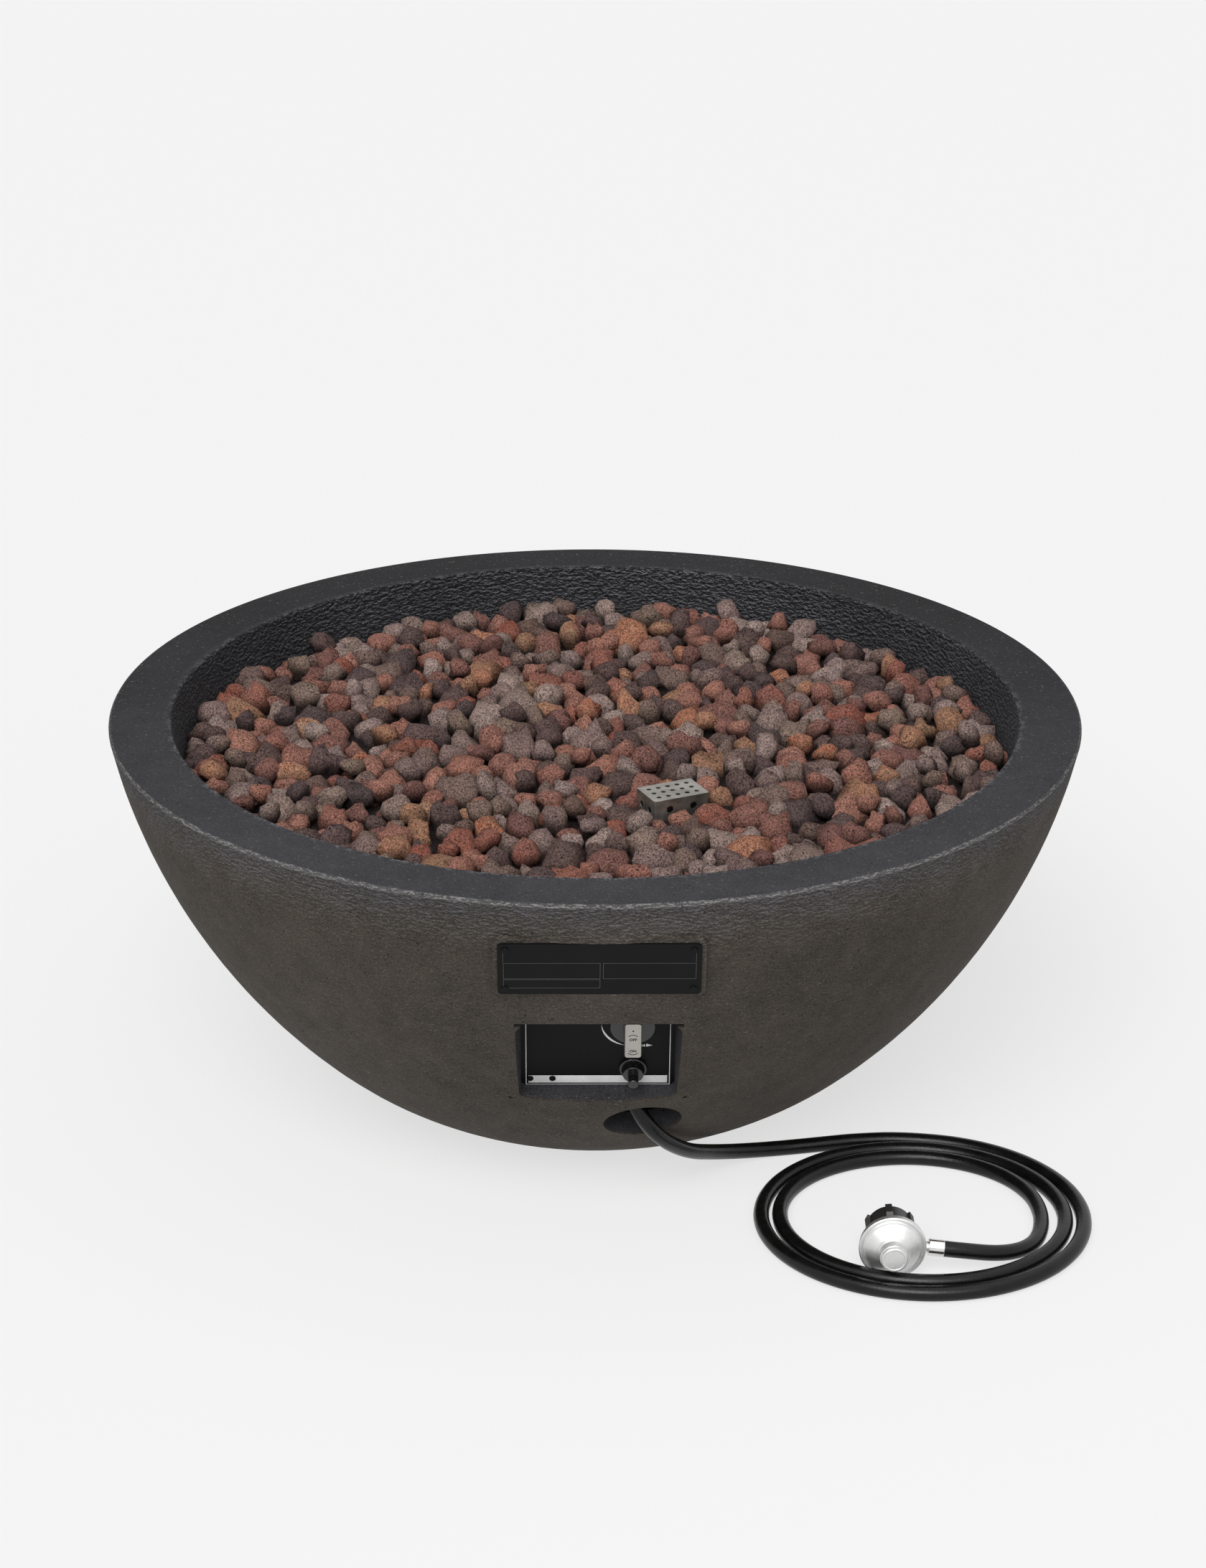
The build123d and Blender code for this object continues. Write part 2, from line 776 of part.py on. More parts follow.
def inlet_elbow():
    x, u, d = elbow_centre()
    across = Plane(origin=(knob_x - valve_width / 2 - inlet_boss, u, d), z_dir=(-1, 0, 0)) * rod(
        elbow_radius, elbow_radius + 2)
    down = elbow_outlet(0) * rod(elbow_radius, elbow_drop)
    ball = Pos(x, u, d) * Sphere(elbow_radius)
    return panel * (across + ball + down)


def hose_nut():
    return panel * elbow_outlet(elbow_drop) * hex_nut(19, hose_nut_length, 0)


def valve_ferrule():
    body = rod(ferrule_radius + 0.8, valve_ferrule_length)
    for k in (0.3, 0.7):
        band = tube(ferrule_radius + 2, ferrule_radius + 0.3, 1.5)
        body -= Pos(0, 0, valve_ferrule_length * k - 0.75) * band
    return panel * elbow_outlet(elbow_drop + hose_nut_length) * body


def lead_start():
    """Where the hose leaves the valve's ferrule, and its first bend."""
    start = elbow_drop + hose_nut_length + valve_ferrule_length
    ends = [elbow_outlet(start).origin, elbow_outlet(start + lead_drop).origin]
    return [panel_point(p.X, p.Y, p.Z) for p in ends]


# Hose: a tube of straight runs and large arcs, with its coil on the ground
def route_radii(points, share=0.45):
    radii = []
    for i in range(1, len(points) - 1):
        before = points[i] - points[i - 1]
        after = points[i + 1] - points[i]
        turn = math.radians(before.get_angle(after))
        radii.append(share * min(before.length, after.length) / math.tan(turn / 2))
    return radii


def flexible_tube(name, points, radius):
    radii = route_radii(points)
    path = FilletPolyline(*points, radius=radii)
    solid = sweep(Plane(origin=path @ 0, z_dir=path % 0) * Circle(radius), path=path)
    expected = math.pi * radius ** 2 * path.length
    print(name, "radii", [round(r, 1) for r in radii], "length", round(path.length, 1),
          "volume share", round(solid.volume / expected, 4))
    return solid


def coil_extreme(k):
    """Point and heading of the coil at quarter turn k, counted from its far side."""
    t = k / 4
    cx = coil_start_x + coil_drift_x * t
    cy = coil_start_y + coil_drift_y * t
    a = coil_half_x - coil_pitch_x * t
    b = coil_half_y - coil_pitch_y * t
    side = k % 4
    turn = 0
    if k == coil_quarters:
        a -= coil_tuck
        turn = coil_exit_turn
    place = [(cx, cy + b), (cx + a, cy), (cx, cy - b), (cx - a, cy)][side]
    heading = [(1, 0), (0, -1), (-1, 0), (0, 1)][side]
    return Vector(*place, hose_z), Vector(*heading, 0).rotate(Axis.Z, -turn)


def biarc(p0, t0, p1, t1):
    """Two arcs that leave p0 along t0 and reach p1 along t1."""
    v = p1 - p0
    along = v.dot(t0 + t1)
    spread = 2 * (1 - t0.dot(t1))
    d = (-along + math.sqrt(along ** 2 + spread * v.dot(v))) / spread
    q0 = p0 + t0 * d
    q1 = p1 - t1 * d
    middle = (q0 + q1) * 0.5
    return [TangentArc(p0, middle, tangent=t0), TangentArc(middle, p1, tangent=(q1 - q0).normalized())]


def coil_path():
    arcs = []
    for k in range(coil_quarters):
        p0, t0 = coil_extreme(k)
        p1, t1 = coil_extreme(k + 1)
        arcs += biarc(p0, t0, p1, t1)
    start, heading = coil_extreme(0)
    end, last = coil_extreme(coil_quarters)
    lead_in = Line(start - heading * 2 * hose_radius, start)
    lead_out = Line(end, end + last * 2 * hose_radius)
    return Wire([lead_in] + arcs + [lead_out])


def coil_gap(path):
    """Least gap between turns, from points along the path."""
    count = 360
    pts = [path @ (i / count) for i in range(count + 1)]
    step = path.length / count
    apart = int(coil_half_x * 3 / step)
    least = min((pts[i] - pts[j]).length for i in range(len(pts)) for j in range(i + apart, len(pts)))
    return least - 2 * hose_radius


def hose_coil():
    path = coil_path()
    solid = sweep(Plane(origin=path @ 0, z_dir=path % 0) * Circle(hose_radius), path=path)
    print("hose_coil length", round(path.length, 1), "least gap between turns", round(coil_gap(path), 2),
          "volume share", round(solid.volume / (math.pi * hose_radius ** 2 * path.length), 4))
    return solid


def hose_lead():
    start, heading = coil_extreme(0)
    end = start - heading * 2 * hose_radius
    bends = [Vector(*p) for p in lead_points] + [end - heading * lead_last_run]
    return flexible_tube("hose_lead", lead_start() + bends + [end], hose_radius)


def hose_tail():
    start, heading = coil_extreme(coil_quarters)
    begin = start + heading * 2 * hose_radius
    first_bend = begin + heading * tail_first_run
    finish = outlet_place(outlet_end + ferrule_length)
    last_bend = outlet_place(outlet_end + ferrule_length + tail_last_run)
    points = [begin, first_bend] + [Vector(*p) for p in tail_points] + [last_bend, finish]
    return flexible_tube("hose_tail", points, hose_radius)


# Regulator, drawn about local Z, which points at the viewer
regulator = Plane(origin=(reg_x, reg_y, reg_z), x_dir=(1, 0, 0), z_dir=(0, -1, 0))
outlet_way = Vector(math.cos(math.radians(outlet_dip)), 0, -math.sin(math.radians(outlet_dip)))


def outlet_place(distance):
    """Point on the outlet's axis, a distance from the regulator's own axis."""
    return Vector(reg_x, reg_y + outlet_back, reg_z) + outlet_way * distance


def turned(points):
    """Solid of revolution about local Z from (radius, height) pairs."""
    line = Polyline(*[(r, 0, h) for r, h in points], close=True)
    return revolve(make_face(line), Axis.Z)


def regulator_bonnet():
    body = turned([(0, -bonnet_lip), (bonnet_radius - 0.8, -bonnet_lip), (bonnet_radius, -bonnet_lip + 0.8),
                   (bonnet_radius, 0.6), (bonnet_radius - 0.9, 1.5), (bonnet_radius - 2.2, 1.5),
                   (bonnet_radius - 3.0, 0.8), (bonnet_radius - 4.2, 2.2), (bonnet_radius - 5.4, 2.4),
                   (19.5, 6.0), (15.2, 9.4), (bonnet_neck_radius + 0.6, 12.0), (bonnet_neck_radius, 14.0),
                   (bonnet_neck_radius, neck_top), (0, neck_top)])
    return regulator * body


def regulator_cap():
    body = turned([(0, neck_top), (reg_cap_radius, neck_top), (reg_cap_radius, reg_cap_front - 0.8),
                   (reg_cap_radius - 0.8, reg_cap_front), (reg_cap_radius - 2.0, reg_cap_front),
                   (reg_cap_radius - 2.5, reg_cap_front - 0.6), (0, reg_cap_front - 0.6)])
    return regulator * body


def diaphragm():
    return regulator * Pos(0, 0, -bonnet_lip - 1) * rod(bonnet_radius - 1.5, 1)


def regulator_body():
    body = turned([(0, -bonnet_lip - 1), (bonnet_radius - 0.6, -bonnet_lip - 1),
                   (bonnet_radius - 0.6, -bonnet_lip - 3),
                   (body_radius, -bonnet_lip - 3.6), (body_radius - 5, -body_back + 1.5),
                   (body_radius - 7, -body_back),
                   (0, -body_back)])
    boss = Plane(origin=outlet_place(0), z_dir=outlet_way) * rod(outlet_boss_radius, outlet_end)
    return regulator * body + boss


def hose_ferrule():
    body = rod(ferrule_radius, ferrule_length)
    body = fillet(body.edges().filter_by(GeomType.CIRCLE), 0.5)
    return Plane(origin=outlet_place(outlet_end), z_dir=outlet_way) * body


def inlet_nipple():
    back = -(nut_front + nut_length)
    web = -(nut_front + nut_web)
    body = turned([(0, -body_back), (nipple_radius, -body_back), (nipple_radius, web - seat),
                   (nipple_radius + 3, web - seat), (nipple_radius + 3, web - seat - 2.5),
                   (nipple_tip_radius, web - seat - 4), (nipple_tip_radius, back + seal_back + 1.5),
                   (nipple_tip_radius - 1.4, back + seal_back + 1.5),
                   (nipple_tip_radius - 1.4, back + seal_back - 1.5),
                   (nipple_tip_radius, back + seal_back - 1.5), (nipple_tip_radius, back - 2),
                   (nipple_tip_radius - 2, back - 6), (2.5, back - 6), (2.5, back + 8), (0, back + 8)])
    return regulator * body


def nipple_seal():
    back = -(nut_front + nut_length)
    return regulator * Pos(0, 0, back + seal_back) * Torus(nipple_tip_radius - 0.1, 1.2)


def coupling_nut():
    front = -nut_front
    back = front - nut_length
    body = turned([(nipple_radius + running_gap, front), (nut_radius - 3.2, front),
                   (nut_radius - 1.8, front - 1.4),
                   (nut_radius - 1.8, front - 5), (nut_radius, front - 6.5), (nut_radius, back + 1),
                   (nut_radius - 1, back), (nut_bore, back), (nut_bore, front - nut_web),
                   (nipple_radius + running_gap, front - nut_web)])
    side = make_face(Polyline((nut_radius - 2, 0, front - 5), (nut_radius + nut_lug_height, 0, front - 9),
                              (nut_radius + nut_lug_height, 0, back + 1.5), (nut_radius - 2, 0, back + 1.5),
                              close=True))
    lug = Pos(0, -nut_lug_width / 2, 0) * extrude(side, nut_lug_width, dir=(0, 1, 0))
    for i in range(nut_lugs):
        body += Rot(0, 0, nut_lug_phase + 360 / nut_lugs * i) * lug
    return regulator * body


# Burner and its pan
def burner_pan():
    inside = pan_radius - pan_sheet
    flange = ledge_outer - pan_flange_gap
    flat = ledge_height + pan_sheet
    sheet = turned([(0, pan_floor_z), (pan_radius, pan_floor_z),
                    (pan_radius, ledge_height), (flange, ledge_height),
                    (flange, flat), (inside, flat),
                    (inside, pan_floor_z + pan_sheet), (0, pan_floor_z + pan_sheet)])
    through = [(0, 0, pan_floor_z, stub_radius + stub_hole_gap)]
    for i in range(drain_holes):
        spot = at_polar((0, 0), drain_circle, 360 / drain_holes * (i + 0.5))
        through.append((*spot, pan_floor_z, drain_radius))
    through.append((*electrode_place(), pan_floor_z, lead_radius + lead_hole_gap))
    through.append((*sensor_place(), pan_floor_z, sensor_lead_radius + lead_hole_gap))
    through += [(x, y, ledge_height, pan_screw[0] + screw_gap) for x, y in pan_screw_places()]
    for x, y, z, radius in through:
        sheet -= Pos(x, y, z - pan_sheet) * rod(radius, 3 * pan_sheet)
    return sheet


def pan_screws():
    one = round_screw(*pan_screw)
    return group([Pos(x, y, ledge_height + pan_sheet) * one for x, y in pan_screw_places()])


def ring_form(radius):
    """The burner's twelve-sided ring tube."""
    section = Pos(burner_radius, 0, 0) * Rot(0, 0, 15) * RegularPolygon(radius, 12)
    return Pos(0, 0, burner_z) * Rot(0, 0, 45) * revolve(Plane.XZ * section, Axis.Z)


def burner_form(shrink):
    """Ring, arms, hub and stub, all drawn smaller by the same amount."""
    body = Pos(0, 0, burner_z - hub_half + shrink) * rod(hub_radius - shrink, 2 * (hub_half - shrink))
    for i in range(4):
        arm = Rot(0, 90, 0) * rod(arm_tube - shrink, burner_radius - 2)
        body += Pos(0, 0, burner_z) * Rot(0, 0, 90 * i) * arm
    body += ring_form(burner_tube - shrink)
    return body + Pos(0, 0, stub_bottom) * rod(stub_radius - shrink, burner_z - stub_bottom)


def burner():
    body = burner_form(0) - burner_form(burner_sheet)
    body -= Pos(0, 0, stub_bottom) * rod(stub_radius - burner_sheet, hub_half)
    places = [at_polar((0, 0), burner_radius, 360 / burner_ports * (i + 0.5)) for i in range(burner_ports)]
    return body - [Pos(x, y, burner_z) * rod(burner_port_radius, 2 * burner_tube) for x, y in places]


def burner_saddles():
    bottom = pan_floor_z + pan_sheet
    height = burner_z - bottom - saddle_drop
    groove = ring_form(burner_tube + saddle_gap)
    parts = []
    for i in range(4):
        block = Box(saddle_length, saddle_width, height, align=(Align.CENTER, Align.CENTER, Align.MIN))
        block = Pos(burner_radius, 0, bottom) * block
        parts.append(Rot(0, 0, 45 + 90 * i) * block - groove)
    return group(parts)


def hub_nut():
    nut = hex_nut(hub_nut_width, hub_nut_height, stub_radius + stub_fit)
    return Pos(0, 0, pan_floor_z - hub_nut_height) * nut


def mixer_elbow():
    outer = stub_radius + fitting_wall
    body = Pos(0, 0, gas_axis_z) * rod(outer, stub_bottom + elbow_socket - gas_axis_z)
    body += Pos(0, 0, gas_axis_z) * Sphere(outer)
    arm = Plane(origin=(0, 0, gas_axis_z), z_dir=(0, -1, 0))
    body += arm * rod(outer, mixer_start + elbow_socket)
    body -= Pos(0, 0, stub_bottom) * rod(stub_radius + stub_fit, elbow_socket)
    body -= Pos(0, 0, gas_axis_z) * rod(fitting_bore, gas_axis_drop)
    body -= arm * rod(fitting_bore, mixer_start)
    body -= arm * Pos(0, 0, mixer_start) * rod(stub_radius + stub_fit, elbow_socket)
    return body


def air_mixer():
    body = tube(stub_radius, fitting_bore, mixer_length)
    for side in (-1, 1):
        port = Box(stub_radius, air_port_width, air_port_length)
        body -= Pos(side * stub_radius, 0, mixer_length * air_port_place) * port
    return Plane(origin=(0, -mixer_start, gas_axis_z), z_dir=(0, -1, 0)) * body


def gas_jet():
    body = hex_nut(jet_width, jet_length, 0)
    body += Pos(0, 0, -jet_nose) * rod(jet_nose_radius, jet_nose)
    body -= Pos(0, 0, -jet_nose) * rod(jet_bore, jet_nose + jet_length)
    return Plane(origin=(0, -mixer_start - mixer_length, gas_axis_z), z_dir=(0, -1, 0)) * body


def pipe_ends():
    """Valve end and jet end of the gas pipe, each with the heading the pipe leaves in."""
    t = math.radians(panel_lean)
    valve_end = panel_point(knob_x, knob_u + valve_width / 2 + outlet_boss, valve_mid)
    jet_end = Vector(0, -mixer_start - mixer_length - jet_length, gas_axis_z)
    return valve_end, Vector(0, -math.sin(t), math.cos(t)), jet_end, Vector(0, -1, 0)


def gas_pipe():
    valve_end, up, jet_end, out = pipe_ends()
    start = valve_end + up * pipe_rise
    finish = jet_end + out * pipe_last_run
    bends = [start + (finish - start) * share for share, drop in pipe_bends]
    bends = [Vector(p.X, p.Y, pan_floor_z - drop) for p, (share, drop) in zip(bends, pipe_bends)]
    return flexible_tube("gas_pipe", [valve_end, start] + bends + [finish, jet_end], pipe_radius)


def pipe_nuts():
    valve_end, up, jet_end, out = pipe_ends()
    one = hex_nut(pipe_nut_width, pipe_nut_length, pipe_radius + pipe_fit)
    return group([Plane(origin=valve_end, z_dir=up) * one, Plane(origin=jet_end, z_dir=out) * one])


# Spark cage and what it shields
cage = Plane(origin=(cage_x, cage_y, 0),
             x_dir=(math.cos(math.radians(cage_turn)), math.sin(math.radians(cage_turn)), 0),
             z_dir=(0, 0, 1))


def cage_point(x, y):
    p = cage.from_local_coords(Vector(x, y, 0))
    return (p.X, p.Y)


def electrode_place():
    return cage_point(electrode_x, cage_row_y)


def sensor_place():
    return cage_point(sensor_x, cage_row_y)


def spark_cage():
    bottom = pan_floor_z + pan_sheet
    height = cage_top - bottom
    outer = extrude(RectangleRounded(cage_length, cage_width, cage_corner), height)
    inner = extrude(RectangleRounded(cage_length - 2 * cage_sheet, cage_width - 2 * cage_sheet,
                                     cage_corner - cage_sheet), height - cage_sheet)
    body = outer - inner
    for i in range(-2, 3):
        for j in range(-1, 2):
            spot = Pos(i * cage_hole_spacing_x, j * cage_hole_spacing_y, height - 2 * cage_sheet)
            body -= spot * rod(cage_hole, 3 * cage_sheet)
    for x in (-12, 12):
        for z in (height - 10, height - 26):
            body -= Pos(x, -cage_width, z) * Rot(-90, 0, 0) * rod(cage_side_hole, 2 * cage_width)
    for y in (-8, 8):
        body -= Pos(-cage_length, y, height - 12) * Rot(0, 90, 0) * rod(cage_side_hole, 2 * cage_length)
    door = Box(cage_length - 6 * cage_corner, 6 * cage_sheet, cage_door)
    body -= Pos(0, cage_width / 2, cage_door / 2) * door
    return cage * Pos(0, 0, bottom) * body


def electrode_bracket():
    bottom = pan_floor_z + pan_sheet
    foot = extrude(RectangleRounded(bracket_length + 8, 26, 3), bracket_sheet)
    for x, r in ((electrode_x, lead_radius + lead_hole_gap), (sensor_x, sensor_lead_radius + lead_hole_gap)):
        foot -= Pos(x, cage_row_y, 0) * rod(r, bracket_sheet)
    low = (Align.CENTER, Align.CENTER, Align.MIN)
    back = Pos(0, -12.2, 0) * Box(bracket_length, bracket_sheet, shelf_height + bracket_sheet, align=low)
    shelf = Pos(0, -3, shelf_height) * Box(bracket_length, 20, bracket_sheet, align=low)
    for x, r in ((electrode_x, insulator_radius), (sensor_x, sensor_radius)):
        shelf -= Pos(x, cage_row_y, shelf_height) * rod(r + insulator_fit, bracket_sheet)
    return cage * Pos(0, 0, bottom) * (foot + back + shelf)


def spark_insulator():
    body = rod(insulator_radius, insulator_length) - rod(electrode_radius + running_gap, insulator_length)
    return cage * Pos(electrode_x, cage_row_y, electrode_bottom) * body


def spark_electrode():
    top = insulator_length + electrode_rise
    path = FilletPolyline((0, 0, 0), (0, 0, top), (0, -6, top + 3), radius=2)
    wire = sweep(Plane(origin=path @ 0, z_dir=path % 0) * Circle(electrode_radius), path=path)
    return cage * Pos(electrode_x, cage_row_y, electrode_bottom) * wire


def flame_sensor():
    body = rod(sensor_radius, sensor_length)
    body = fillet(body.edges().sort_by(Axis.Z)[-1], sensor_radius * 0.8)
    return cage * Pos(sensor_x, cage_row_y, electrode_bottom) * body


def between(a, b, across, along, up):
    """Point whose shares of the way from a to b are given for X, Y and Z."""
    way = b - a
    return a + Vector(way.X * across, way.Y * along, way.Z * up)


def ignition_lead():
    x, y = electrode_place()
    start = panel_point(module_mid, module_u, -panel_thickness - module_depth)
    leave = start - panel.z_dir * 22
    arrive = Vector(x - 6, y - 34, pan_floor_z - lead_drop_below_pan)
    points = [start, leave, between(leave, arrive, 0.135, 0.35, 0.44),
              between(leave, arrive, 0.515, 0.76, 0.825),
              arrive, Vector(x, y, pan_floor_z - lead_turn_below_pan), Vector(x, y, electrode_bottom)]
    return flexible_tube("ignition_lead", points, lead_radius)


def sensor_lead():
    x, y = sensor_place()
    start = panel_point(knob_x, knob_u, -valve_front - valve_length - magnet_length - magnet_nut_length)
    leave = start - panel.z_dir * 12
    arrive = Vector(x + 2, y - 26, pan_floor_z - lead_drop_below_pan)
    points = [start, leave, between(leave, arrive, 0.54, 0.37, 0.2), arrive,
              Vector(x, y, pan_floor_z - lead_turn_below_pan), Vector(x, y, electrode_bottom)]
    return flexible_tube("sensor_lead", points, sensor_lead_radius)


def switch_lead():
    back = panel.z_dir * -1
    start = panel_point(igniter_x, igniter_u, -barrel_length)
    finish = panel_point(module_mid + module_width / 3, module_u, -panel_thickness - module_depth)
    leave = start + back * 14
    arrive = finish + back * 20
    points = [start, leave, between(leave, arrive, 0.28, -0.56, 0),
              between(leave, arrive, 0.76, -0.36, 0.27),
              arrive, finish]
    return flexible_tube("switch_lead", points, switch_lead_radius)


# Stones
def lava_bed():
    inside = pan_radius - pan_sheet - seat
    flange = ledge_outer - bed_edge_gap
    bottom = pan_floor_z + pan_sheet + seat
    shelf = ledge_height + pan_sheet + seat
    body = turned([(0, bottom), (inside, bottom), (inside, shelf),
                   (flange, shelf), (flange, bed_top), (0, bed_top)])
    clear = burner_tube + bed_burner_gap
    roof = burner_z + clear
    height = roof - bottom + 1
    room = Pos(0, 0, bottom - 1) * (rod(burner_radius + clear, height) - rod(burner_radius - clear, height))
    for turn in (0, 90):
        arm = Box(2 * burner_radius, 2 * clear, height, align=(Align.CENTER, Align.CENTER, Align.MIN))
        room += Pos(0, 0, bottom - 1) * Rot(0, 0, turn) * arm
    room += Pos(0, 0, bottom - 1) * rod(hub_radius + bed_hub_gap, height)
    well = Box(cage_length + 2 * cage_gap, cage_width + 2 * cage_gap, cage_top - bottom,
               align=(Align.CENTER, Align.CENTER, Align.MIN))
    room += cage * Pos(0, 0, bottom - 1) * well
    for x, y in pan_screw_places():
        room += Pos(x, y, shelf - 1) * rod(pan_screw[1] + bed_screw_gap, bed_screw_room)
    return body - room


def rock(x, y, size, sides, rng):
    """One stone: an irregular pyramid stump with a flat foot and a sloping top."""
    start = rng.uniform(0, 360)
    foot = []
    for i in range(sides):
        r = size * rng.uniform(0.82, 1.0)
        px, py = at_polar((x, y), r, start + 360 / sides * (i + rng.uniform(-0.18, 0.18)))
        foot.append(Vector(px, py, bed_top))
    apex = Vector(x + rng.uniform(-4, 4), y + rng.uniform(-4, 4), bed_top + rng.uniform(2.0, 2.8) * size)
    height = rng.uniform(rock_low, rock_high)
    lean_x = rng.uniform(-0.22, 0.22)
    lean_y = rng.uniform(-0.22, 0.22)
    top = []
    for p in foot:
        ray = apex - p
        level = height + lean_x * (p.X - x) + lean_y * (p.Y - y)
        share = level / (ray.Z - lean_x * ray.X - lean_y * ray.Y)
        top.append(p + ray * share)
    faces = [Face(Wire.make_polygon(foot)), Face(Wire.make_polygon(top))]
    for i in range(sides):
        j = (i + 1) % sides
        faces.append(Face(Wire.make_polygon([foot[i], foot[j], top[j], top[i]])))
    return Solid(Shell(faces))


def rock_places():
    """Places on a loose triangular grid inside the rim, clear of the cage."""
    rng = random.Random(7)
    reach = ledge_outer - rock_spacing / 2 - cage_gap
    row = rock_spacing * math.sqrt(3) / 2
    places = []
    count = math.ceil(reach / row)
    for j in range(-count, count + 1):
        for i in range(-count, count + 1):
            x = (i + 0.5 * (j % 2)) * rock_spacing
            y = j * row
            shift = rock_spacing * 0.04
            x += rng.uniform(-shift, shift)
            y += rng.uniform(-shift, shift)
            spot = cage.to_local_coords(Vector(x, y, 0))
            free_x = abs(spot.X) > (cage_length + rock_spacing) / 2
            free = free_x or abs(spot.Y) > (cage_width + rock_spacing) / 2
            if math.hypot(x, y) < reach and free:
                places.append((x, y))
    return places


def lava_rocks():
    rng = random.Random(11)
    piles = {name: [] for name in rock_colours}
    size = rock_spacing / 2 * 0.96 - rock_gap / 2
    for x, y in rock_places():
        name = rng.choices(list(rock_colours), weights=list(rock_colours.values()))[0]
        piles[name].append(rock(x, y, size * rng.uniform(0.86, 1.0), rng.choice((5, 6)), rng))
    return {name: group(stones) for name, stones in piles.items()}


pieces = {
    "bowl_shell": bowl_shell, "label_plate": label_plate, "label_screws": label_screws,
    "control_panel": control_panel, "panel_screws": panel_screws, "spark_module": spark_module,
    "module_screws": module_screws, "valve_body": valve_body, "valve_bonnet": valve_bonnet,
    "valve_screws": valve_screws, "stem_spring": stem_spring,
    "valve_plug": valve_plug, "valve_stem": valve_stem,
    "magnet_unit": magnet_unit, "knob": knob, "knob_grip_plate": knob_grip_plate,
    "igniter_barrel": igniter_barrel, "igniter_nut": igniter_nut, "igniter_cap": igniter_cap,
    "igniter_button": igniter_button, "button_spring": button_spring, "battery": battery,
    "inlet_elbow": inlet_elbow, "hose_nut": hose_nut, "valve_ferrule": valve_ferrule,
    "hose_lead": hose_lead, "hose_coil": hose_coil, "hose_tail": hose_tail, "hose_ferrule": hose_ferrule,
    "regulator_body": regulator_body, "diaphragm": diaphragm, "regulator_bonnet": regulator_bonnet,
    "regulator_cap": regulator_cap, "inlet_nipple": inlet_nipple, "nipple_seal": nipple_seal,
    "coupling_nut": coupling_nut, "burner_pan": burner_pan, "pan_screws": pan_screws, "burner": burner,
    "burner_saddles": burner_saddles, "hub_nut": hub_nut, "mixer_elbow": mixer_elbow, "air_mixer": air_mixer,
    "gas_jet": gas_jet, "gas_pipe": gas_pipe, "pipe_nuts": pipe_nuts, "spark_cage": spark_cage,
    "electrode_bracket": electrode_bracket, "spark_insulator": spark_insulator,
    "spark_electrode": spark_electrode, "flame_sensor": flame_sensor, "ignition_lead": ignition_lead,
    "sensor_lead": sensor_lead, "switch_lead": switch_lead, "lava_bed": lava_bed,
}

for name, make in pieces.items():
    save(name, make())
for name, pile in lava_rocks().items():
    save(name, pile)
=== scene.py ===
import json
import math

import bmesh
import bpy
import numpy as np
from mathutils import Matrix, Vector


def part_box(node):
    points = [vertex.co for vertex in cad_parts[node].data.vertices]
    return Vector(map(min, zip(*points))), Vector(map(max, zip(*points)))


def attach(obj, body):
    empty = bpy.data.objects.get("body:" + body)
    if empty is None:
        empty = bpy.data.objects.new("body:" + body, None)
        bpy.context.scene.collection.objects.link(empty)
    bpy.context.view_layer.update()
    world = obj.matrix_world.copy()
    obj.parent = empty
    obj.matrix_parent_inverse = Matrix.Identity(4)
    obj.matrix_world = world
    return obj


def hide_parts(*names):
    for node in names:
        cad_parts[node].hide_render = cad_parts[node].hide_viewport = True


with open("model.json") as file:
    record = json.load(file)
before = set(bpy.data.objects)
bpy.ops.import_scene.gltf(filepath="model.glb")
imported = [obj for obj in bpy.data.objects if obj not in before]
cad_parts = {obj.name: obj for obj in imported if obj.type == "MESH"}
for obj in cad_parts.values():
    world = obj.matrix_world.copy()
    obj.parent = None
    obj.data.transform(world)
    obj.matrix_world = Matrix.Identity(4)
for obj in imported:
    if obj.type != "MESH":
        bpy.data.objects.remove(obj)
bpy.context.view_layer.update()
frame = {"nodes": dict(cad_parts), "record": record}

bl_info = {
    "name": "Fire Bowl Dressing",
    "version": (1, 0, 0),
    "blender": (4, 5, 0),
    "location": "View3D > Sidebar > Fire Bowl",
    "description": "Stones, hose, printed plates and finishes for a cast gas fire bowl",
    "category": "Object",
}

# Lengths are in metres, apart from the prints on the plates, which are laid out in millimetres
MM = 0.001
NODES = frame["nodes"]

# Camera: its place, the point it looks at, its film and lens in millimetres, its roll and how far it sees
CAMERA_PLACE = (-0.0362, -3.5881, 1.784)
CAMERA_AIM = (0.00759, -0.00009, 0.3028)
CAMERA_FILM = 36
CAMERA_LENS = 93.72
CAMERA_ROLL = 0.0042
CAMERA_REACH = 50

# Stage: the floor's half side and its drop below the bowl's foot, the lamps and the pale surroundings
GROUND_HALF = 14
GROUND_DROP = 0.0005
LAMP_AIM = (0, 0, 0.2)
BOX_PLACE = (0.9, -2.6, 1.9)
BOX_SIDE = 1.4
KEY_PLACE = (-0.6, -2.4, 2.5)
KEY_SPREAD = math.radians(36)
OVER_PLACE = (-0.2, -0.3, 3.0)
OVER_SPREAD = math.radians(90)
SURROUND_LEVEL = 0.905

# Casting: its wall is one long arc outside, whose middle is given by distance from the axis and height
RIM_TOP = float(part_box("bowl_shell")[1][2])
LEDGE_RADIUS = 0.388
WALL_MIDDLE = (-0.1054, 0.49597)
WALL_RADIUS = 0.57422

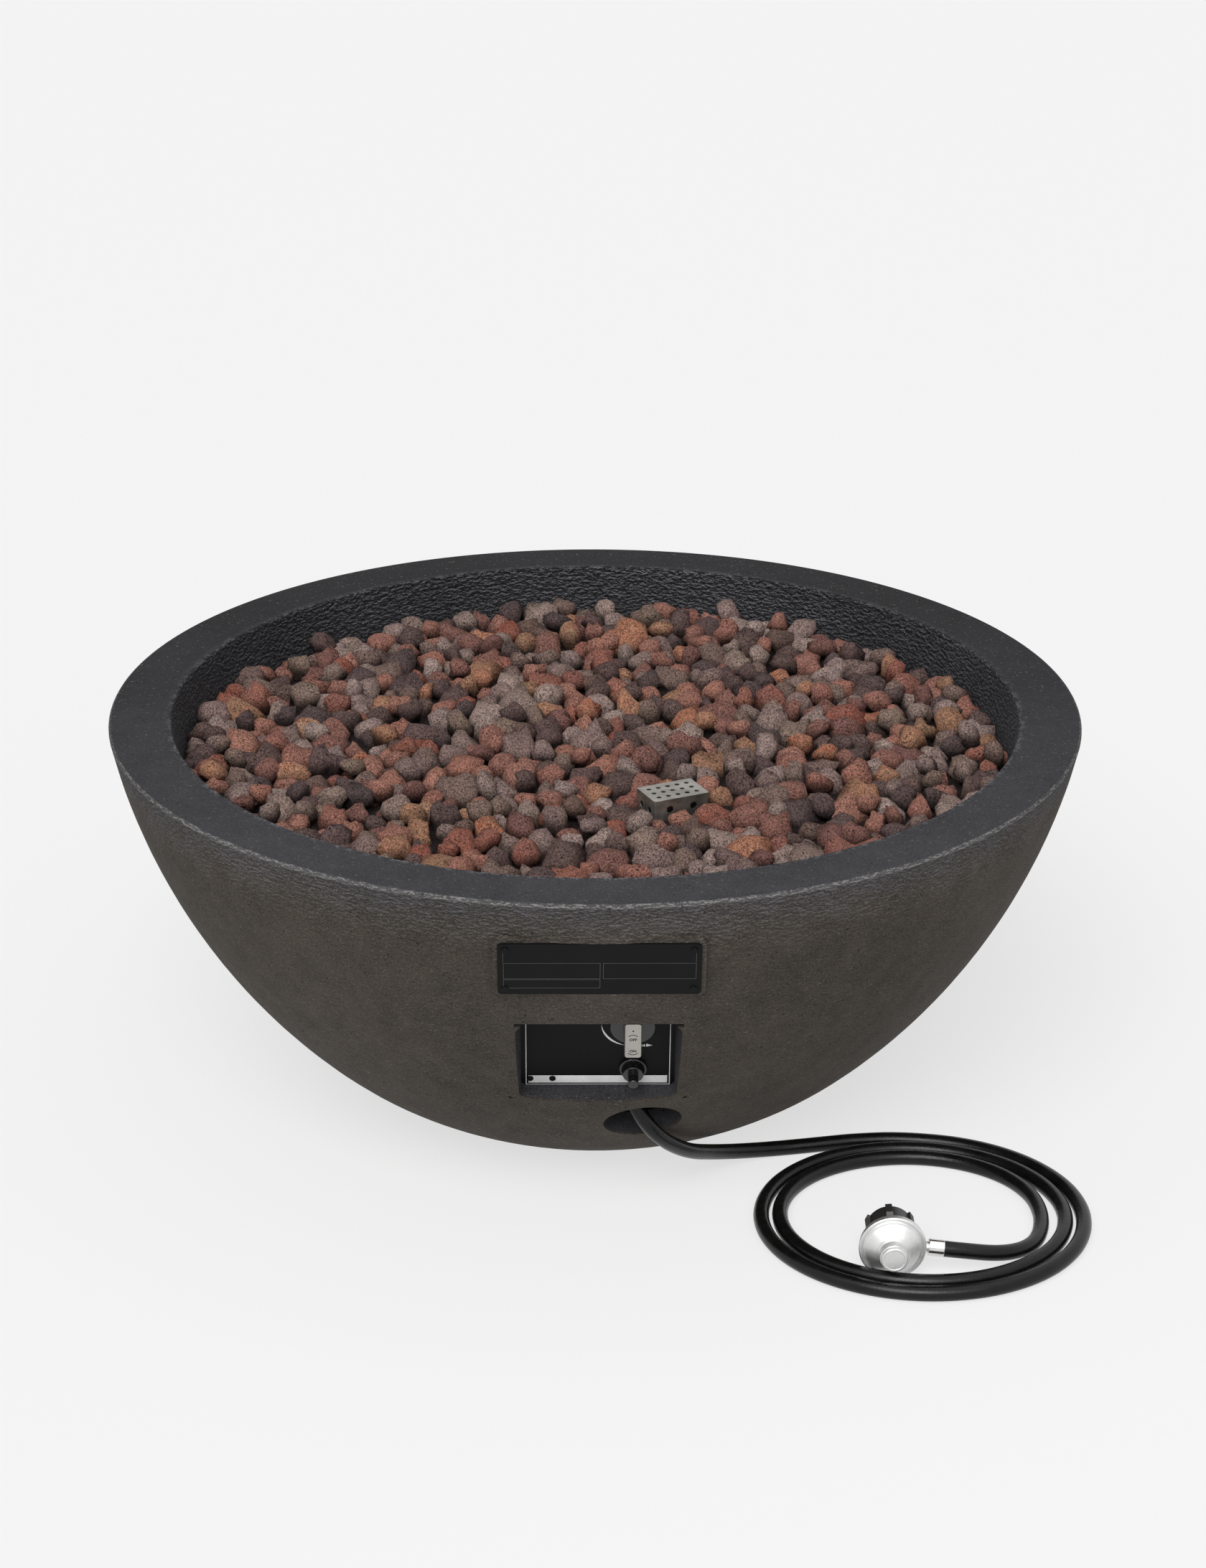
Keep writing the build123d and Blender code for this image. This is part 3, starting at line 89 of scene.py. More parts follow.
# Zones of the casting's finish: each comes in between two heights, depths under the outside or places in Y
INSIDE_DEPTH = (0.0012, 0.004)
INSIDE_HEIGHT = (0.06, 0.08)
RIM_ROUND_HEIGHT = (RIM_TOP - 0.006, RIM_TOP - 0.0025)
BLEED_HEIGHT = (0.36, 0.41)
SHOULDER_HEIGHT = (0.31, 0.37)
EDGE_HEIGHT = (0.3762, 0.3782)
EDGE_DEPTH = (0.0018, 0.0036)
BED_WALL_DEPTH = (0.050, 0.062)
BED_WALL_HEIGHT = (0.3, 0.32)
# Painted light: the wall above the stones is painted lighter towards the back, as if better lit there, and
# the rim's charcoal is painted lighter at the front and darker at the back, as light falling off from the
# front
LIT_BACK_WALL_Y = (0.05, 0.42)
RIM_LIGHT_FALLOFF_Y = (-0.42, 0.3)

# The casting's crinkles: how fine and how flat they are, and the step up that finds their upper sides, which
# get a painted highlight
CRINKLE_SCALE = 185.0
CRINKLE_FLATTEN = 2.0
CRINKLE_STEP = 0.0016

# Loose stones, lying round the spark cage: its middle, its turn and its half sides
CAGE_MIDDLE = (0.070, -0.129)
CAGE_TURN = math.radians(25)
CAGE_HALF = (0.0278, 0.019)
# Stones this near to the cage stay lower than the others by this much, so that it shows
CAGE_APRON = 0.022
CAGE_DIP = 0.009

# How stones are dropped: places tried for each, and more small stones than large ones by this power
DROP_TRIES = 30
DROP_SKEW = 1.4
# After this share of the drops small fillers follow, with radii up to this share of the smallest width
FILLER_START = 0.6
FILLER_RADIUS = 0.62
# How far past the ledge a stone may reach, and shares of its radius: kept clear, sunk, standing up
PAST_LEDGE = 0.004
CLEARANCE_SHARE = 0.9
SUNK_SHARE = 0.12
STANDING_SHARE = 0.85
# Neighbours touch at this share of their two radii, because their corners don't meet
TOUCH_SHARE = 0.93
# Height given to a spot that isn't free, so that no stone is laid there
NOWHERE = 9
# Half width of the bed, the cell of the grid on which showing stones are found, and the cells that one needs
BED_HALF = 0.4
BED_CELL = 0.004
SHOWING_CELLS = 3
# Least and largest half side of a stone, as shares of its radius
STONE_SIDES = (0.8, 1.28)
# A stone's lumps are read this many times its middle's place away, so that neighbours differ
LUMPS_APART = (29, 29, 29)
STONE_SHARES = {"grey": 0.37, "dark": 0.2, "red": 0.34, "rust": 0.09}

# Hose: bends of the lead, the coil's middle and half sides and what each turn adds, bends of the tail
HOSE_Z = 0.0073
LEAD = [(0.01054, -0.30925, 0.18751), (0.01818, -0.29586, 0.1463), (0.0445, -0.313, 0.0965),
        (0.078, -0.2725, 0.0525), (0.114, -0.217, 0.0225), (0.160, -0.1825, HOSE_Z),
        (0.205, -0.1735, HOSE_Z), (0.2451, -0.1646, HOSE_Z)]
COIL_MIDDLE = (0.291, -0.3148)
COIL_DRIFT = (0.00025, 0.0016)
COIL_HALF = (0.1547, 0.1502)
COIL_PITCH = (0.0168, 0.0187)
COIL_QUARTERS = 9
COIL_TUCK = 0.006
COIL_POINTS = 16
TAIL = [(0.39824, -0.35138, HOSE_Z), (0.384, -0.378, 0.0094), (0.358, -0.398, 0.015),
        (0.32203, -0.4055, 0.0227), (0.30615, -0.4055, 0.02465)]

# Plates that carry print: the foot of the panel's face, the middle of the label's seat, and their lean
PANEL_FOOT = Vector((0, -0.326, 0.1452))
PANEL_LEAN = math.radians(18)
LABEL_MIDDLE = Vector((0, -0.43606, 0.3135))
LABEL_LEAN = math.radians(18.6)

# Prints, in millimetres across a plate, up it and out of it. Ink stands just clear of what it is printed on
INK_GAP = 0.02
INK_THICKNESS = 0.08
LABEL_FACE = 2.0
GRIP_FACE = 23.0
KNOB_AXIS = (30.4, 78.4)
PANEL_LINE = 0.7
PANEL_FRAME_SIDE = 63.7
PANEL_FRAME_FOOT = 3.2
PANEL_FRAME_TOP = 124.0
PANEL_BAND = (-61.7, 5.5, 61.7, 14.3)
FLAME_MARKS = ((38.0, 50.0, 39.4, 52.2), (40.2, 50.0, 41.6, 52.6))
ARROW = ((42.6, 49.8), (48.0, 51.4), (42.6, 53.4))
LABEL_LINE = 0.3
LABEL_FRAMES = ((-82.0, -22.0, 0.6, -11.8), (-82.0, -11.0, 0.6, 7.4), (3.0, -11.0, 82.4, 7.4))
LABEL_SIDE = 82.2
LABEL_SIDE_ENDS = (8.0, 22.0)
KNOB_LINE = 0.6
LETTER_HEIGHT = 3.9


# Node trees

class Value:
    """A socket in a node tree. Sums, products and powers of it add maths nodes."""

    def __init__(self, graph, socket):
        self.graph = graph
        self.socket = socket

    def __add__(self, other):
        return self.graph.maths("ADD", self, other)

    __radd__ = __add__

    def __sub__(self, other):
        return self.graph.maths("SUBTRACT", self, other)

    def __rsub__(self, other):
        return self.graph.maths("SUBTRACT", other, self)

    def __mul__(self, other):
        return self.graph.maths("MULTIPLY", self, other)

    __rmul__ = __mul__

    def __pow__(self, other):
        return self.graph.maths("POWER", self, other)

    def out(self, name):
        """Another output of the same node."""
        return Value(self.graph, self.socket.node.outputs[name])


class Graph:
    """A node tree and the few ways in which nodes are added to it."""

    def __init__(self, tree):
        self.tree = tree

    def node(self, kind, settings=None, inputs=None, out=0):
        """Adds a node with its settings first, then the values or links of its sockets."""
        made = self.tree.nodes.new(kind)
        for key, value in (settings or {}).items():
            if key == "stops":
                self.set_stops(made.color_ramp, value)
            else:
                setattr(made, key, value)
        for key, value in (inputs or {}).items():
            if isinstance(value, Value):
                self.tree.links.new(value.socket, made.inputs[key])
            else:
                made.inputs[key].default_value = value
        return Value(self, made.outputs[out]) if len(made.outputs) else None

    @staticmethod
    def set_stops(ramp, stops):
        """Colours along a ramp, given from its low end to its high end."""
        while len(ramp.elements) < len(stops):
            ramp.elements.new(0.5)
        for element, (place, colour) in zip(ramp.elements, stops):
            element.position = place
            element.color = (*colour, 1)

    def maths(self, operation, *values):
        return self.node("ShaderNodeMath", {"operation": operation}, dict(enumerate(values)))

    def vectors(self, operation, *values, **named):
        inputs = {**dict(enumerate(values)), **named}
        return self.node("ShaderNodeVectorMath", {"operation": operation}, inputs)

    def largest(self, first, *others):
        for other in others:
            first = self.maths("MAXIMUM", first, other)
        return first

    def smooth(self, value, low, high):
        """0 below low, 1 above high, smooth between."""
        return self.node("ShaderNodeMapRange", {"interpolation_type": "SMOOTHSTEP"},
                         {"Value": value, "From Min": low, "From Max": high})

    def split(self, vector):
        """The three numbers of a vector."""
        parts = self.node("ShaderNodeSeparateXYZ", None, {0: vector})
        return [parts.out(axis) for axis in "XYZ"]


class Paint(Graph):
    """A material's tree around its Principled shader."""

    def __init__(self, name, **constants):
        self.material = bpy.data.materials.new("look_" + name)
        self.material.use_nodes = True
        super().__init__(self.material.node_tree)
        self.shader = self.tree.nodes["Principled BSDF"]
        for key, value in constants.items():
            self.shader.inputs[key.replace("_", " ")].default_value = value
        self.place = self.node("ShaderNodeTexCoord", out="Object")

    def noise(self, scale, detail=3.0, rough=0.5, place=None):
        return self.node("ShaderNodeTexNoise", None, {
            "Vector": place or self.place, "Scale": scale, "Detail": detail, "Roughness": rough})

    def cells(self, scale):
        """Distance to the nearest of many scattered points."""
        return self.node("ShaderNodeTexVoronoi", None, {"Vector": self.place, "Scale": scale}, "Distance")

    def attribute(self, name, out):
        return self.node("ShaderNodeAttribute", {"attribute_name": name}, out=out)

    def stretched(self, x, y, z):
        """The place with its axes scaled, for grain along one way."""
        return self.node("ShaderNodeMapping", None, {"Vector": self.place, "Scale": (x, y, z)})

    def mix(self, share, a, b):
        """From colour a to colour b."""
        a = a if isinstance(a, Value) else (*a, 1)
        b = b if isinstance(b, Value) else (*b, 1)
        return self.node("ShaderNodeMix", {"data_type": "RGBA"}, {0: share, 6: a, 7: b}, 2)

    def shade(self, colour, factor):
        """The colour made lighter or darker."""
        return self.vectors("SCALE", colour, Scale=factor)

    def ramp(self, value, stops):
        return self.node("ShaderNodeValToRGB", {"stops": stops}, {0: value})

    def put(self, name, value):
        """Links a value to one of the shader's sockets."""
        self.tree.links.new(value.socket, self.shader.inputs[name])

    def relief(self, height, distance, strength=1.0):
        self.put("Normal", self.node("ShaderNodeBump", None, {
            "Height": height, "Distance": distance, "Strength": strength}, "Normal"))


def linear(r, g, b):
    """A colour read off as 0 to 255, as the renderer wants it."""
    def one(v):
        v /= 255
        return v / 12.92 if v <= 0.04045 else ((v + 0.055) / 1.055) ** 2.4
    return (one(r), one(g), one(b))


def scaled(colour, factor):
    return tuple(c * factor for c in colour)


# Finishes

# Stone colours, from one end of a pile's range of tints to the other
STONE_TINTS = {
    "grey": [(0.0, linear(120, 99, 95)), (0.2, linear(138, 119, 114)), (0.4, linear(106, 86, 83)),
             (0.6, linear(120, 102, 90)), (0.8, linear(150, 131, 124)), (1.0, linear(110, 92, 83))],
    "dark": [(0.0, linear(80, 65, 63)), (0.3, linear(96, 77, 74)), (0.6, linear(78, 67, 67)),
             (1.0, linear(102, 82, 74))],
    "red": [(0.0, linear(122, 83, 75)), (0.25, linear(142, 100, 88)), (0.5, linear(108, 77, 72)),
            (0.75, linear(150, 108, 94)), (1.0, linear(128, 76, 63))],
    "rust": [(0.0, linear(150, 94, 74)), (0.35, linear(156, 110, 88)), (0.6, linear(132, 103, 83)),
             (0.8, linear(162, 117, 94)), (1.0, linear(142, 118, 98))],
    # The bed under the loose stones is painted near black, as painted shade for the deep gaps between them
    "fill": [(0.0, linear(34, 29, 28)), (1.0, linear(40, 34, 33))],
}

# Plastics and paints, metals, and printing inks, by name
PLASTICS = {
    "label_black": {"colour": linear(17, 17, 17), "roughness": 0.6, "grain": 0.15, "shine": 0.1},
    "panel_black": {"colour": linear(12, 12, 13), "roughness": 0.5, "grain": 0.15, "shine": 0.12},
    "black_plastic": {"colour": linear(20, 20, 20), "roughness": 0.2, "grain": 0.2, "shine": 0.65},
    "nut_black": {"colour": linear(38, 36, 36), "roughness": 0.45, "grain": 0.3},
    "lead_red": {"colour": (0.4, 0.04, 0.03), "roughness": 0.5},
}
METALS = {
    "grip_metal": {"colour": (0.42, 0.40, 0.37), "roughness": 0.42, "brushed": (1, 0.1, 0.1)},
    "steel": {"colour": (0.32, 0.305, 0.28), "roughness": 0.46, "brushed": (0.08, 1, 1), "wear": 0.5},
    "chrome": {"colour": (0.75, 0.74, 0.72), "roughness": 0.12, "grain": 0.03},
    "brass": {"colour": (0.72, 0.52, 0.22), "roughness": 0.3, "grain": 0.06},
    "zinc": {"colour": (0.72, 0.72, 0.715), "roughness": 0.45, "grain": 0.2},
    "copper": {"colour": (0.72, 0.4, 0.26), "roughness": 0.35, "grain": 0.05},
}
INKS = {
    "print_pale": {"colour": linear(214, 214, 214), "roughness": 0.5, "grain": 0.1},
    "print_grey": {"colour": linear(72, 72, 72), "roughness": 0.5, "grain": 0.1},
    "print_black": {"colour": linear(12, 12, 12), "roughness": 0.6, "grain": 0.1, "shine": 0.2},
}
RUBBER_BLACK = (0.003, 0.003, 0.003)
RUBBER_BLOOM = (0.006, 0.006, 0.006)
CERAMIC_SOOTED = (0.72, 0.68, 0.6)
CERAMIC_CLEAN = (0.85, 0.82, 0.76)


def cast_stone(settings):
    """Sanded, stained casting: brown outside, charcoal on the rim and inside, crinkled above the stones."""
    paint = Paint("concrete", Specular_IOR_Level=0.09)
    x, y, z = paint.split(paint.place)
    drop = WALL_MIDDLE[1] - z
    depth = (WALL_RADIUS ** 2 - drop * drop) ** 0.5 + WALL_MIDDLE[0] - (x * x + y * y) ** 0.5
    cloud = paint.noise(scale=5.0, detail=4.0, rough=0.6)
    mottle = paint.noise(scale=42.0, detail=4.0, rough=0.65)
    sand = paint.noise(scale=620.0, detail=2.0, rough=0.6)

    # Painted highlight: the crinkles' upper sides, where they fall away above a place, are painted lighter,
    # as if lit from above
    here = paint.stretched(1, 1, CRINKLE_FLATTEN)
    above = paint.vectors("ADD", here, (0, 0, CRINKLE_STEP))
    crinkle = paint.noise(CRINKLE_SCALE, detail=4.0, rough=0.62, place=here)
    higher = paint.noise(CRINKLE_SCALE, detail=4.0, rough=0.62, place=above)
    painted_crest_light = paint.smooth(crinkle - higher, -0.01, 0.09)

    # Zones: the charcoal stain runs a little way down the outside with a ragged edge
    inner = paint.smooth(depth, *INSIDE_DEPTH) * paint.smooth(z, *INSIDE_HEIGHT)
    top = paint.smooth(z, *RIM_ROUND_HEIGHT)
    bleed = paint.smooth(z + mottle * 0.06, *BLEED_HEIGHT) * 0.8
    charcoal = paint.largest(inner, top, bleed)
    bed_wall = paint.smooth(depth, *BED_WALL_DEPTH) * paint.smooth(z, *BED_WALL_HEIGHT)
    lit_back = paint.smooth(y, *LIT_BACK_WALL_Y)
    shoulder = paint.smooth(z, *SHOULDER_HEIGHT) * 0.6
    edge = paint.smooth(z, *EDGE_HEIGHT) * (1 - paint.smooth(depth, *EDGE_DEPTH))

    # Stain, then painted highlights on the crinkles of the wall above the stones and of the shoulder
    # outside, a pale line along the rim's outer edge that is partly wear and partly painted highlight, and
    # painted light on the rim
    pale_sand_and_highlight = tuple(settings.sand_and_edge_highlight_colour)
    base = paint.mix(charcoal, tuple(settings.body_colour), tuple(settings.rim_colour))
    tone = cloud * 0.4 + mottle * 0.35 + sand * 0.85
    base = paint.shade(base, tone * 2.2 - 0.76)
    # Painted highlight on the crinkles of the wall above the stones, stronger towards the back, where the
    # wall is also painted lighter as if better lit
    base = paint.shade(base, 1 + bed_wall * (painted_crest_light * (lit_back * 5 + 4.5) + lit_back * 0.2 - 0.15))
    # Painted highlight on the upper sides of the crinkles on the shoulder outside
    base = paint.shade(base, 0.97 + (1 - inner) * painted_crest_light * (shoulder * 1.7 + 0.3))
    # Pale line along the rim's rounded outer edge: partly wear, partly painted highlight
    base = paint.mix(edge * (0.12 + painted_crest_light * 0.48), base, pale_sand_and_highlight)
    # Painted light: the rim's charcoal is painted lighter at the front and darker at the back, as light
    # falling off from the front
    base = paint.shade(base, 1 + charcoal * (0.92 - paint.smooth(y, *RIM_LIGHT_FALLOFF_Y) * 1.14))

    # Sand that shows pale in the stain, and small open pits painted darker as painted shade inside them
    sparse = paint.noise(scale=330.0, detail=2.0, rough=0.7, place=paint.stretched(1, 1, 1.7))
    flecks = paint.smooth(sparse, 0.63, 0.72) * settings.flecks
    base = paint.mix(flecks, base, pale_sand_and_highlight)
    pitted = paint.smooth(paint.noise(scale=60.0, detail=1.0), 0.54, 0.62)
    pits = (1 - paint.smooth(paint.cells(scale=150.0), 0.06, 0.16)) * pitted
    paint.put("Base Color", paint.shade(base, 1 - pits * 0.7))
    paint.put("Roughness", 0.8 - charcoal * 0.12 - flecks * 0.3)

    crinkled = paint.largest(bed_wall, (1 - inner) * shoulder * (1 - top))
    height = mottle * 0.15 + crinkle * (0.12 + crinkled * 2.4) + sand * 0.06 + flecks * 0.1 - pits * 0.8
    paint.relief(height, distance=0.0026)
    return paint.material


def porous(slot, stops, settings):
    """Lava stone in its own tint: grainy with paler worn grains, painted shade on its lower side, painted
    light on its upper side and open pores painted dark as painted shade.
    """
    paint = Paint(slot, Roughness=0.92, Specular_IOR_Level=0.12)
    blotch = paint.noise(scale=85.0, detail=3.0, rough=0.6)
    grain = paint.noise(scale=560.0, detail=4.0, rough=0.8)
    tint = paint.attribute("tint", "Fac")
    blotched = paint.smooth(blotch, 0.42, 0.64) * 0.55
    base = paint.mix(blotched, paint.ramp(tint, stops), paint.ramp(1 - tint, stops))

    # Painted shade and light: height above the stone's own middle makes its lower side darker, as the stones
    # round it shade it, and its upper side lighter
    arm = paint.vectors("SUBTRACT", paint.place, paint.attribute("middle", "Vector"))
    painted_shade_and_light = paint.smooth(paint.split(arm)[2], -0.006, 0.010)
    worn = paint.smooth(grain, 0.36, 0.64)
    base = paint.shade(base, (worn * 2.0 + 0.55) * (painted_shade_and_light * 1.06 + 0.2))

    small = 1 - paint.smooth(paint.cells(settings.pore_scale * 1.9), 0.12, 0.28)
    large = 1 - paint.smooth(paint.cells(settings.pore_scale * 0.65), 0.14, 0.26)
    frothy = paint.smooth(paint.noise(scale=75.0, detail=1.0), 0.46, 0.56)
    holes = paint.largest(large * frothy, small * 0.95)
    # Painted shade: the open pores are painted darker, as the shade inside them
    paint.put("Base Color", paint.shade(base, 1 - holes * 0.8))
    paint.relief(blotch * 0.9 + grain * 0.9 - holes * 0.6, distance=0.004)
    return paint.material


def moulded(name, colour, roughness, grain=0.25, shine=0.5):
    """Moulded plastic, paint or ink with a fine even grain."""
    paint = Paint(name, Roughness=roughness, Specular_IOR_Level=shine)
    fine = paint.noise(scale=900.0, detail=2.0)
    wide = paint.noise(scale=30.0, detail=2.0)
    paint.put("Base Color", paint.ramp(wide * 0.6 + fine * 0.4, [
        (0.3, scaled(colour, 0.8)), (0.7, scaled(colour, 1.25))]))
    paint.put("Roughness", roughness - 0.06 + wide * 0.12)
    paint.relief(fine, distance=0.00012, strength=grain)
    return paint.material


def metal(name, colour, roughness, brushed=(1, 1, 1), grain=0.12, wear=0.1):
    """Metal with a grain along its brushing and slightly uneven polish."""
    paint = Paint(name, Metallic=1.0, Roughness=roughness)
    lines = paint.noise(scale=260.0, detail=3.0, rough=0.6, place=paint.stretched(*brushed))
    cloud = paint.noise(scale=55.0, detail=3.0)
    paint.put("Base Color", paint.ramp(cloud * 0.5 + lines * 0.5, [
        (0.3, scaled(colour, 1 - wear)), (0.7, scaled(colour, 1 + wear * 0.6))]))
    paint.put("Roughness", roughness - 0.08 + cloud * 0.1 + lines * 0.08)
    paint.relief(lines, distance=0.0001, strength=grain)
    return paint.material


def hose_rubber():
    """Black rubber with a bloom of dust and a faint moulding ripple."""
    paint = Paint("hose_rubber", Roughness=0.42, Specular_IOR_Level=0.27)
    bloom = paint.noise(scale=60.0, detail=4.0, rough=0.6)
    fine = paint.noise(scale=700.0, detail=2.0)
    paint.put("Base Color", paint.ramp(bloom, [(0.35, RUBBER_BLACK), (0.75, RUBBER_BLOOM)]))
    paint.put("Roughness", 0.16 + bloom * 0.24)
    paint.relief(fine * 0.7 + bloom, distance=0.0004, strength=0.5)
    return paint.material


def ceramic():
    """Unglazed insulator with a little soot."""
    paint = Paint("ceramic_white", Roughness=0.45)
    soot = paint.noise(scale=90.0, detail=3.0)
    paint.put("Base Color", paint.ramp(soot, [(0.35, CERAMIC_SOOTED), (0.65, CERAMIC_CLEAN)]))
    paint.relief(soot, distance=0.0001, strength=0.3)
    return paint.material


def ground_paint(settings):
    """Pale floor. Part of its paleness is its own, so that the shadows on it stay light."""
    paint = Paint("ground", Roughness=0.9, Specular_IOR_Level=0.0)
    colour = tuple(settings.ground_colour)
    share = settings.shadow_share
    paint.shader.inputs["Base Color"].default_value = (*scaled(colour, share), 1)
    own = paint.node("ShaderNodeEmission", None, {"Color": (*colour, 1), "Strength": 1 - share})
    both = paint.node("ShaderNodeAddShader", None, {0: own, 1: Value(paint, paint.shader.outputs[0])})
    paint.tree.links.new(both.socket, paint.tree.nodes["Material Output"].inputs["Surface"])
    return paint.material


def even_sky(settings):
    """White light from all round, which the camera, reflections and glass see as pale surroundings."""
    world = bpy.data.worlds.new("even_light")
    world.use_nodes = True
    graph = Graph(world.node_tree)
    path = graph.node("ShaderNodeLightPath", out="Is Camera Ray")
    seen = path + path.out("Is Glossy Ray") + path.out("Is Transmission Ray")
    strength = seen * (SURROUND_LEVEL - settings.sky_light) + settings.sky_light
    light = world.node_tree.nodes["Background"]
    light.inputs["Color"].default_value = (1, 1, 1, 1)
    world.node_tree.links.new(strength.socket, light.inputs["Strength"])
    return world


# Making pieces

def settings_of(context):
    return context.scene.fire_bowl


def link(name, data):
    """A new object in the scene for a mesh, curve, lamp or camera."""
    made = bpy.data.objects.new(name, data)
    bpy.context.scene.collection.objects.link(made)
    return made


def finish_piece(piece, material, body):
    """Gives a piece its material and the body that it rides on."""
    piece.data.materials.clear()
    piece.data.materials.append(material)
    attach(piece, body)


def material_of(slot):
    """The finish that an earlier step made for a slot."""
    found = bpy.data.materials.get("look_" + slot)
    if found is None:
        raise RuntimeError("no step has made this finish yet: " + slot)
    return found


def set_material(node, material):
    NODES[node].material_slots[0].material = material


def tilted(middle, lean):
    """Matrix from millimetres across, up and out of a leaning face to the frame."""
    c, s = math.cos(lean), math.sin(lean)
    turn = Matrix(((1, 0, 0), (0, -s, -c), (0, c, -s))).to_4x4()
    return Matrix.Translation(middle) @ turn @ Matrix.Scale(MM, 4)


def polar(centre, radius, angle):
    return (centre[0] + radius * math.cos(angle), centre[1] + radius * math.sin(angle))


class Ink:
    """Flat printed shapes on a plate, in millimetres, gathered into one mesh."""

    dot_steps = 12
    arc_steps = 24
    # Width left at the ends of a tapered stroke, and how much letters are fattened, both as shares
    taper_end = 0.06
    fattening = 0.025
    # Points nearer than this are one
    merge = 0.001

    def __init__(self, place, face=0.0):
        self.place = place
        self.low = face + INK_GAP
        self.high = self.low + INK_THICKNESS
        self.mesh = bmesh.new()

    def corner(self, x, y, level):
        return self.mesh.verts.new((x, y, level))

    def outline(self, points):
        """A closed flat shape, given anticlockwise, with its thickness."""
        low = [self.corner(x, y, self.low) for x, y in points]
        high = [self.corner(x, y, self.high) for x, y in points]
        self.mesh.faces.new(high)
        self.mesh.faces.new(low[::-1])
        for i in range(len(points)):
            j = (i + 1) % len(points)
            self.mesh.faces.new((low[i], low[j], high[j], high[i]))

    def bar(self, x0, y0, x1, y1):
        self.outline([(x0, y0), (x1, y0), (x1, y1), (x0, y1)])

    def upright(self, x, y0, y1, line):
        """A line up the plate, centred on x."""
        self.bar(x - line / 2, y0, x + line / 2, y1)

    def frame(self, x0, y0, x1, y1, line):
        """Four lines just inside a rectangle."""
        self.bar(x0, y0, x1, y0 + line)
        self.bar(x0, y1 - line, x1, y1)
        self.bar(x0, y0 + line, x0 + line, y1 - line)
        self.bar(x1 - line, y0 + line, x1, y1 - line)

    def dot(self, centre, radius):
        turns = [2 * math.pi * i / self.dot_steps for i in range(self.dot_steps)]
        self.outline([polar(centre, radius, turn) for turn in turns])

    def arc(self, centre, radius, start, end, width, taper=False):
        """A curved stroke between two angles in degrees; with taper it thins towards both ends."""
        rows = []
        for i in range(self.arc_steps + 1):
            share = i / self.arc_steps
            angle = math.radians(start + (end - start) * share)
            half = width / 2 * (max(math.sin(math.pi * share), self.taper_end) if taper else 1)
            outside = polar(centre, radius + half, angle)
            inside = polar(centre, radius - half, angle)
            rows.append((self.corner(*outside, self.low), self.corner(*outside, self.high),
                         self.corner(*inside, self.high), self.corner(*inside, self.low)))
        for row, following in zip(rows, rows[1:]):
            for k in range(4):
                self.mesh.faces.new((row[k], following[k], following[k - 1], row[k - 1]))
        self.mesh.faces.new(rows[0])
        self.mesh.faces.new(rows[-1][::-1])

    def words(self, text, centre, height):
        """Plain block letters, centred on a point."""
        curve = bpy.data.curves.new("letters", "FONT")
        curve.body = text
        curve.align_x = "CENTER"
        curve.align_y = "CENTER"
        curve.size = height
        curve.extrude = INK_THICKNESS / 2
        curve.offset = height * self.fattening
        carrier = bpy.data.objects.new("letters", curve)
        letters = bpy.data.meshes.new_from_object(carrier)
        letters.transform(Matrix.Translation((*centre, (self.low + self.high) / 2)))
        self.mesh.from_mesh(letters)
        bpy.data.meshes.remove(letters)
        bpy.data.objects.remove(carrier)
        bpy.data.curves.remove(curve)

    def finish(self, name, look, body):
        """The whole print as one piece, laid on its plate, in one of the inks."""
        bmesh.ops.remove_doubles(self.mesh, verts=self.mesh.verts, dist=self.merge)
        bmesh.ops.recalc_face_normals(self.mesh, faces=self.mesh.faces)
        mesh = bpy.data.meshes.new(name)
        self.mesh.to_mesh(mesh)
        self.mesh.free()
        mesh.transform(self.place)
        finish_piece(link(name, mesh), moulded(look, **INKS[look]), body)


def hose_points():
    """Control points of the whole hose: lead, coil and tail."""
    points = list(LEAD)
    step = 4 / COIL_POINTS
    # Control points of a round turn stand a little outside it
    outward = 1 / math.cos(math.pi / COIL_POINTS)
    for i in range(round(COIL_QUARTERS / step) + 1):
        quarter = i * step
        turn = quarter / 4
        tuck = COIL_TUCK * max(0.0, quarter - COIL_QUARTERS + 1)
        angle = math.radians(90 * quarter)
        half_x = (COIL_HALF[0] - COIL_PITCH[0] * turn - tuck) * outward
        half_y = (COIL_HALF[1] - COIL_PITCH[1] * turn) * outward
        points.append((COIL_MIDDLE[0] + COIL_DRIFT[0] * turn + half_x * math.sin(angle),
                       COIL_MIDDLE[1] + COIL_DRIFT[1] * turn + half_y * math.cos(angle), HOSE_Z))
    return points + TAIL


def beside_cage(spots):
    """How far each spot lies outside the spark cage, or less than nothing where it lies under it."""
    c, s = math.cos(CAGE_TURN), math.sin(CAGE_TURN)
    away = spots - np.array(CAGE_MIDDLE)
    along = np.abs(away[:, 0] * c + away[:, 1] * s)
    across = np.abs(away[:, 1] * c - away[:, 0] * s)
    return np.maximum(along - CAGE_HALF[0], across - CAGE_HALF[1])


def height_on(spots, r, centres, radii):
    """Height at which a grain's middle comes to rest over each spot, on the grains that lie there."""
    gap = spots[:, None, :] - centres[None, :, :2]
    flat = (gap ** 2).sum(2)
    touch = (TOUCH_SHARE * (r + radii)) ** 2
    return np.where(flat < touch, centres[:, 2] + np.sqrt(np.maximum(touch - flat, 0)), 0).max(1)


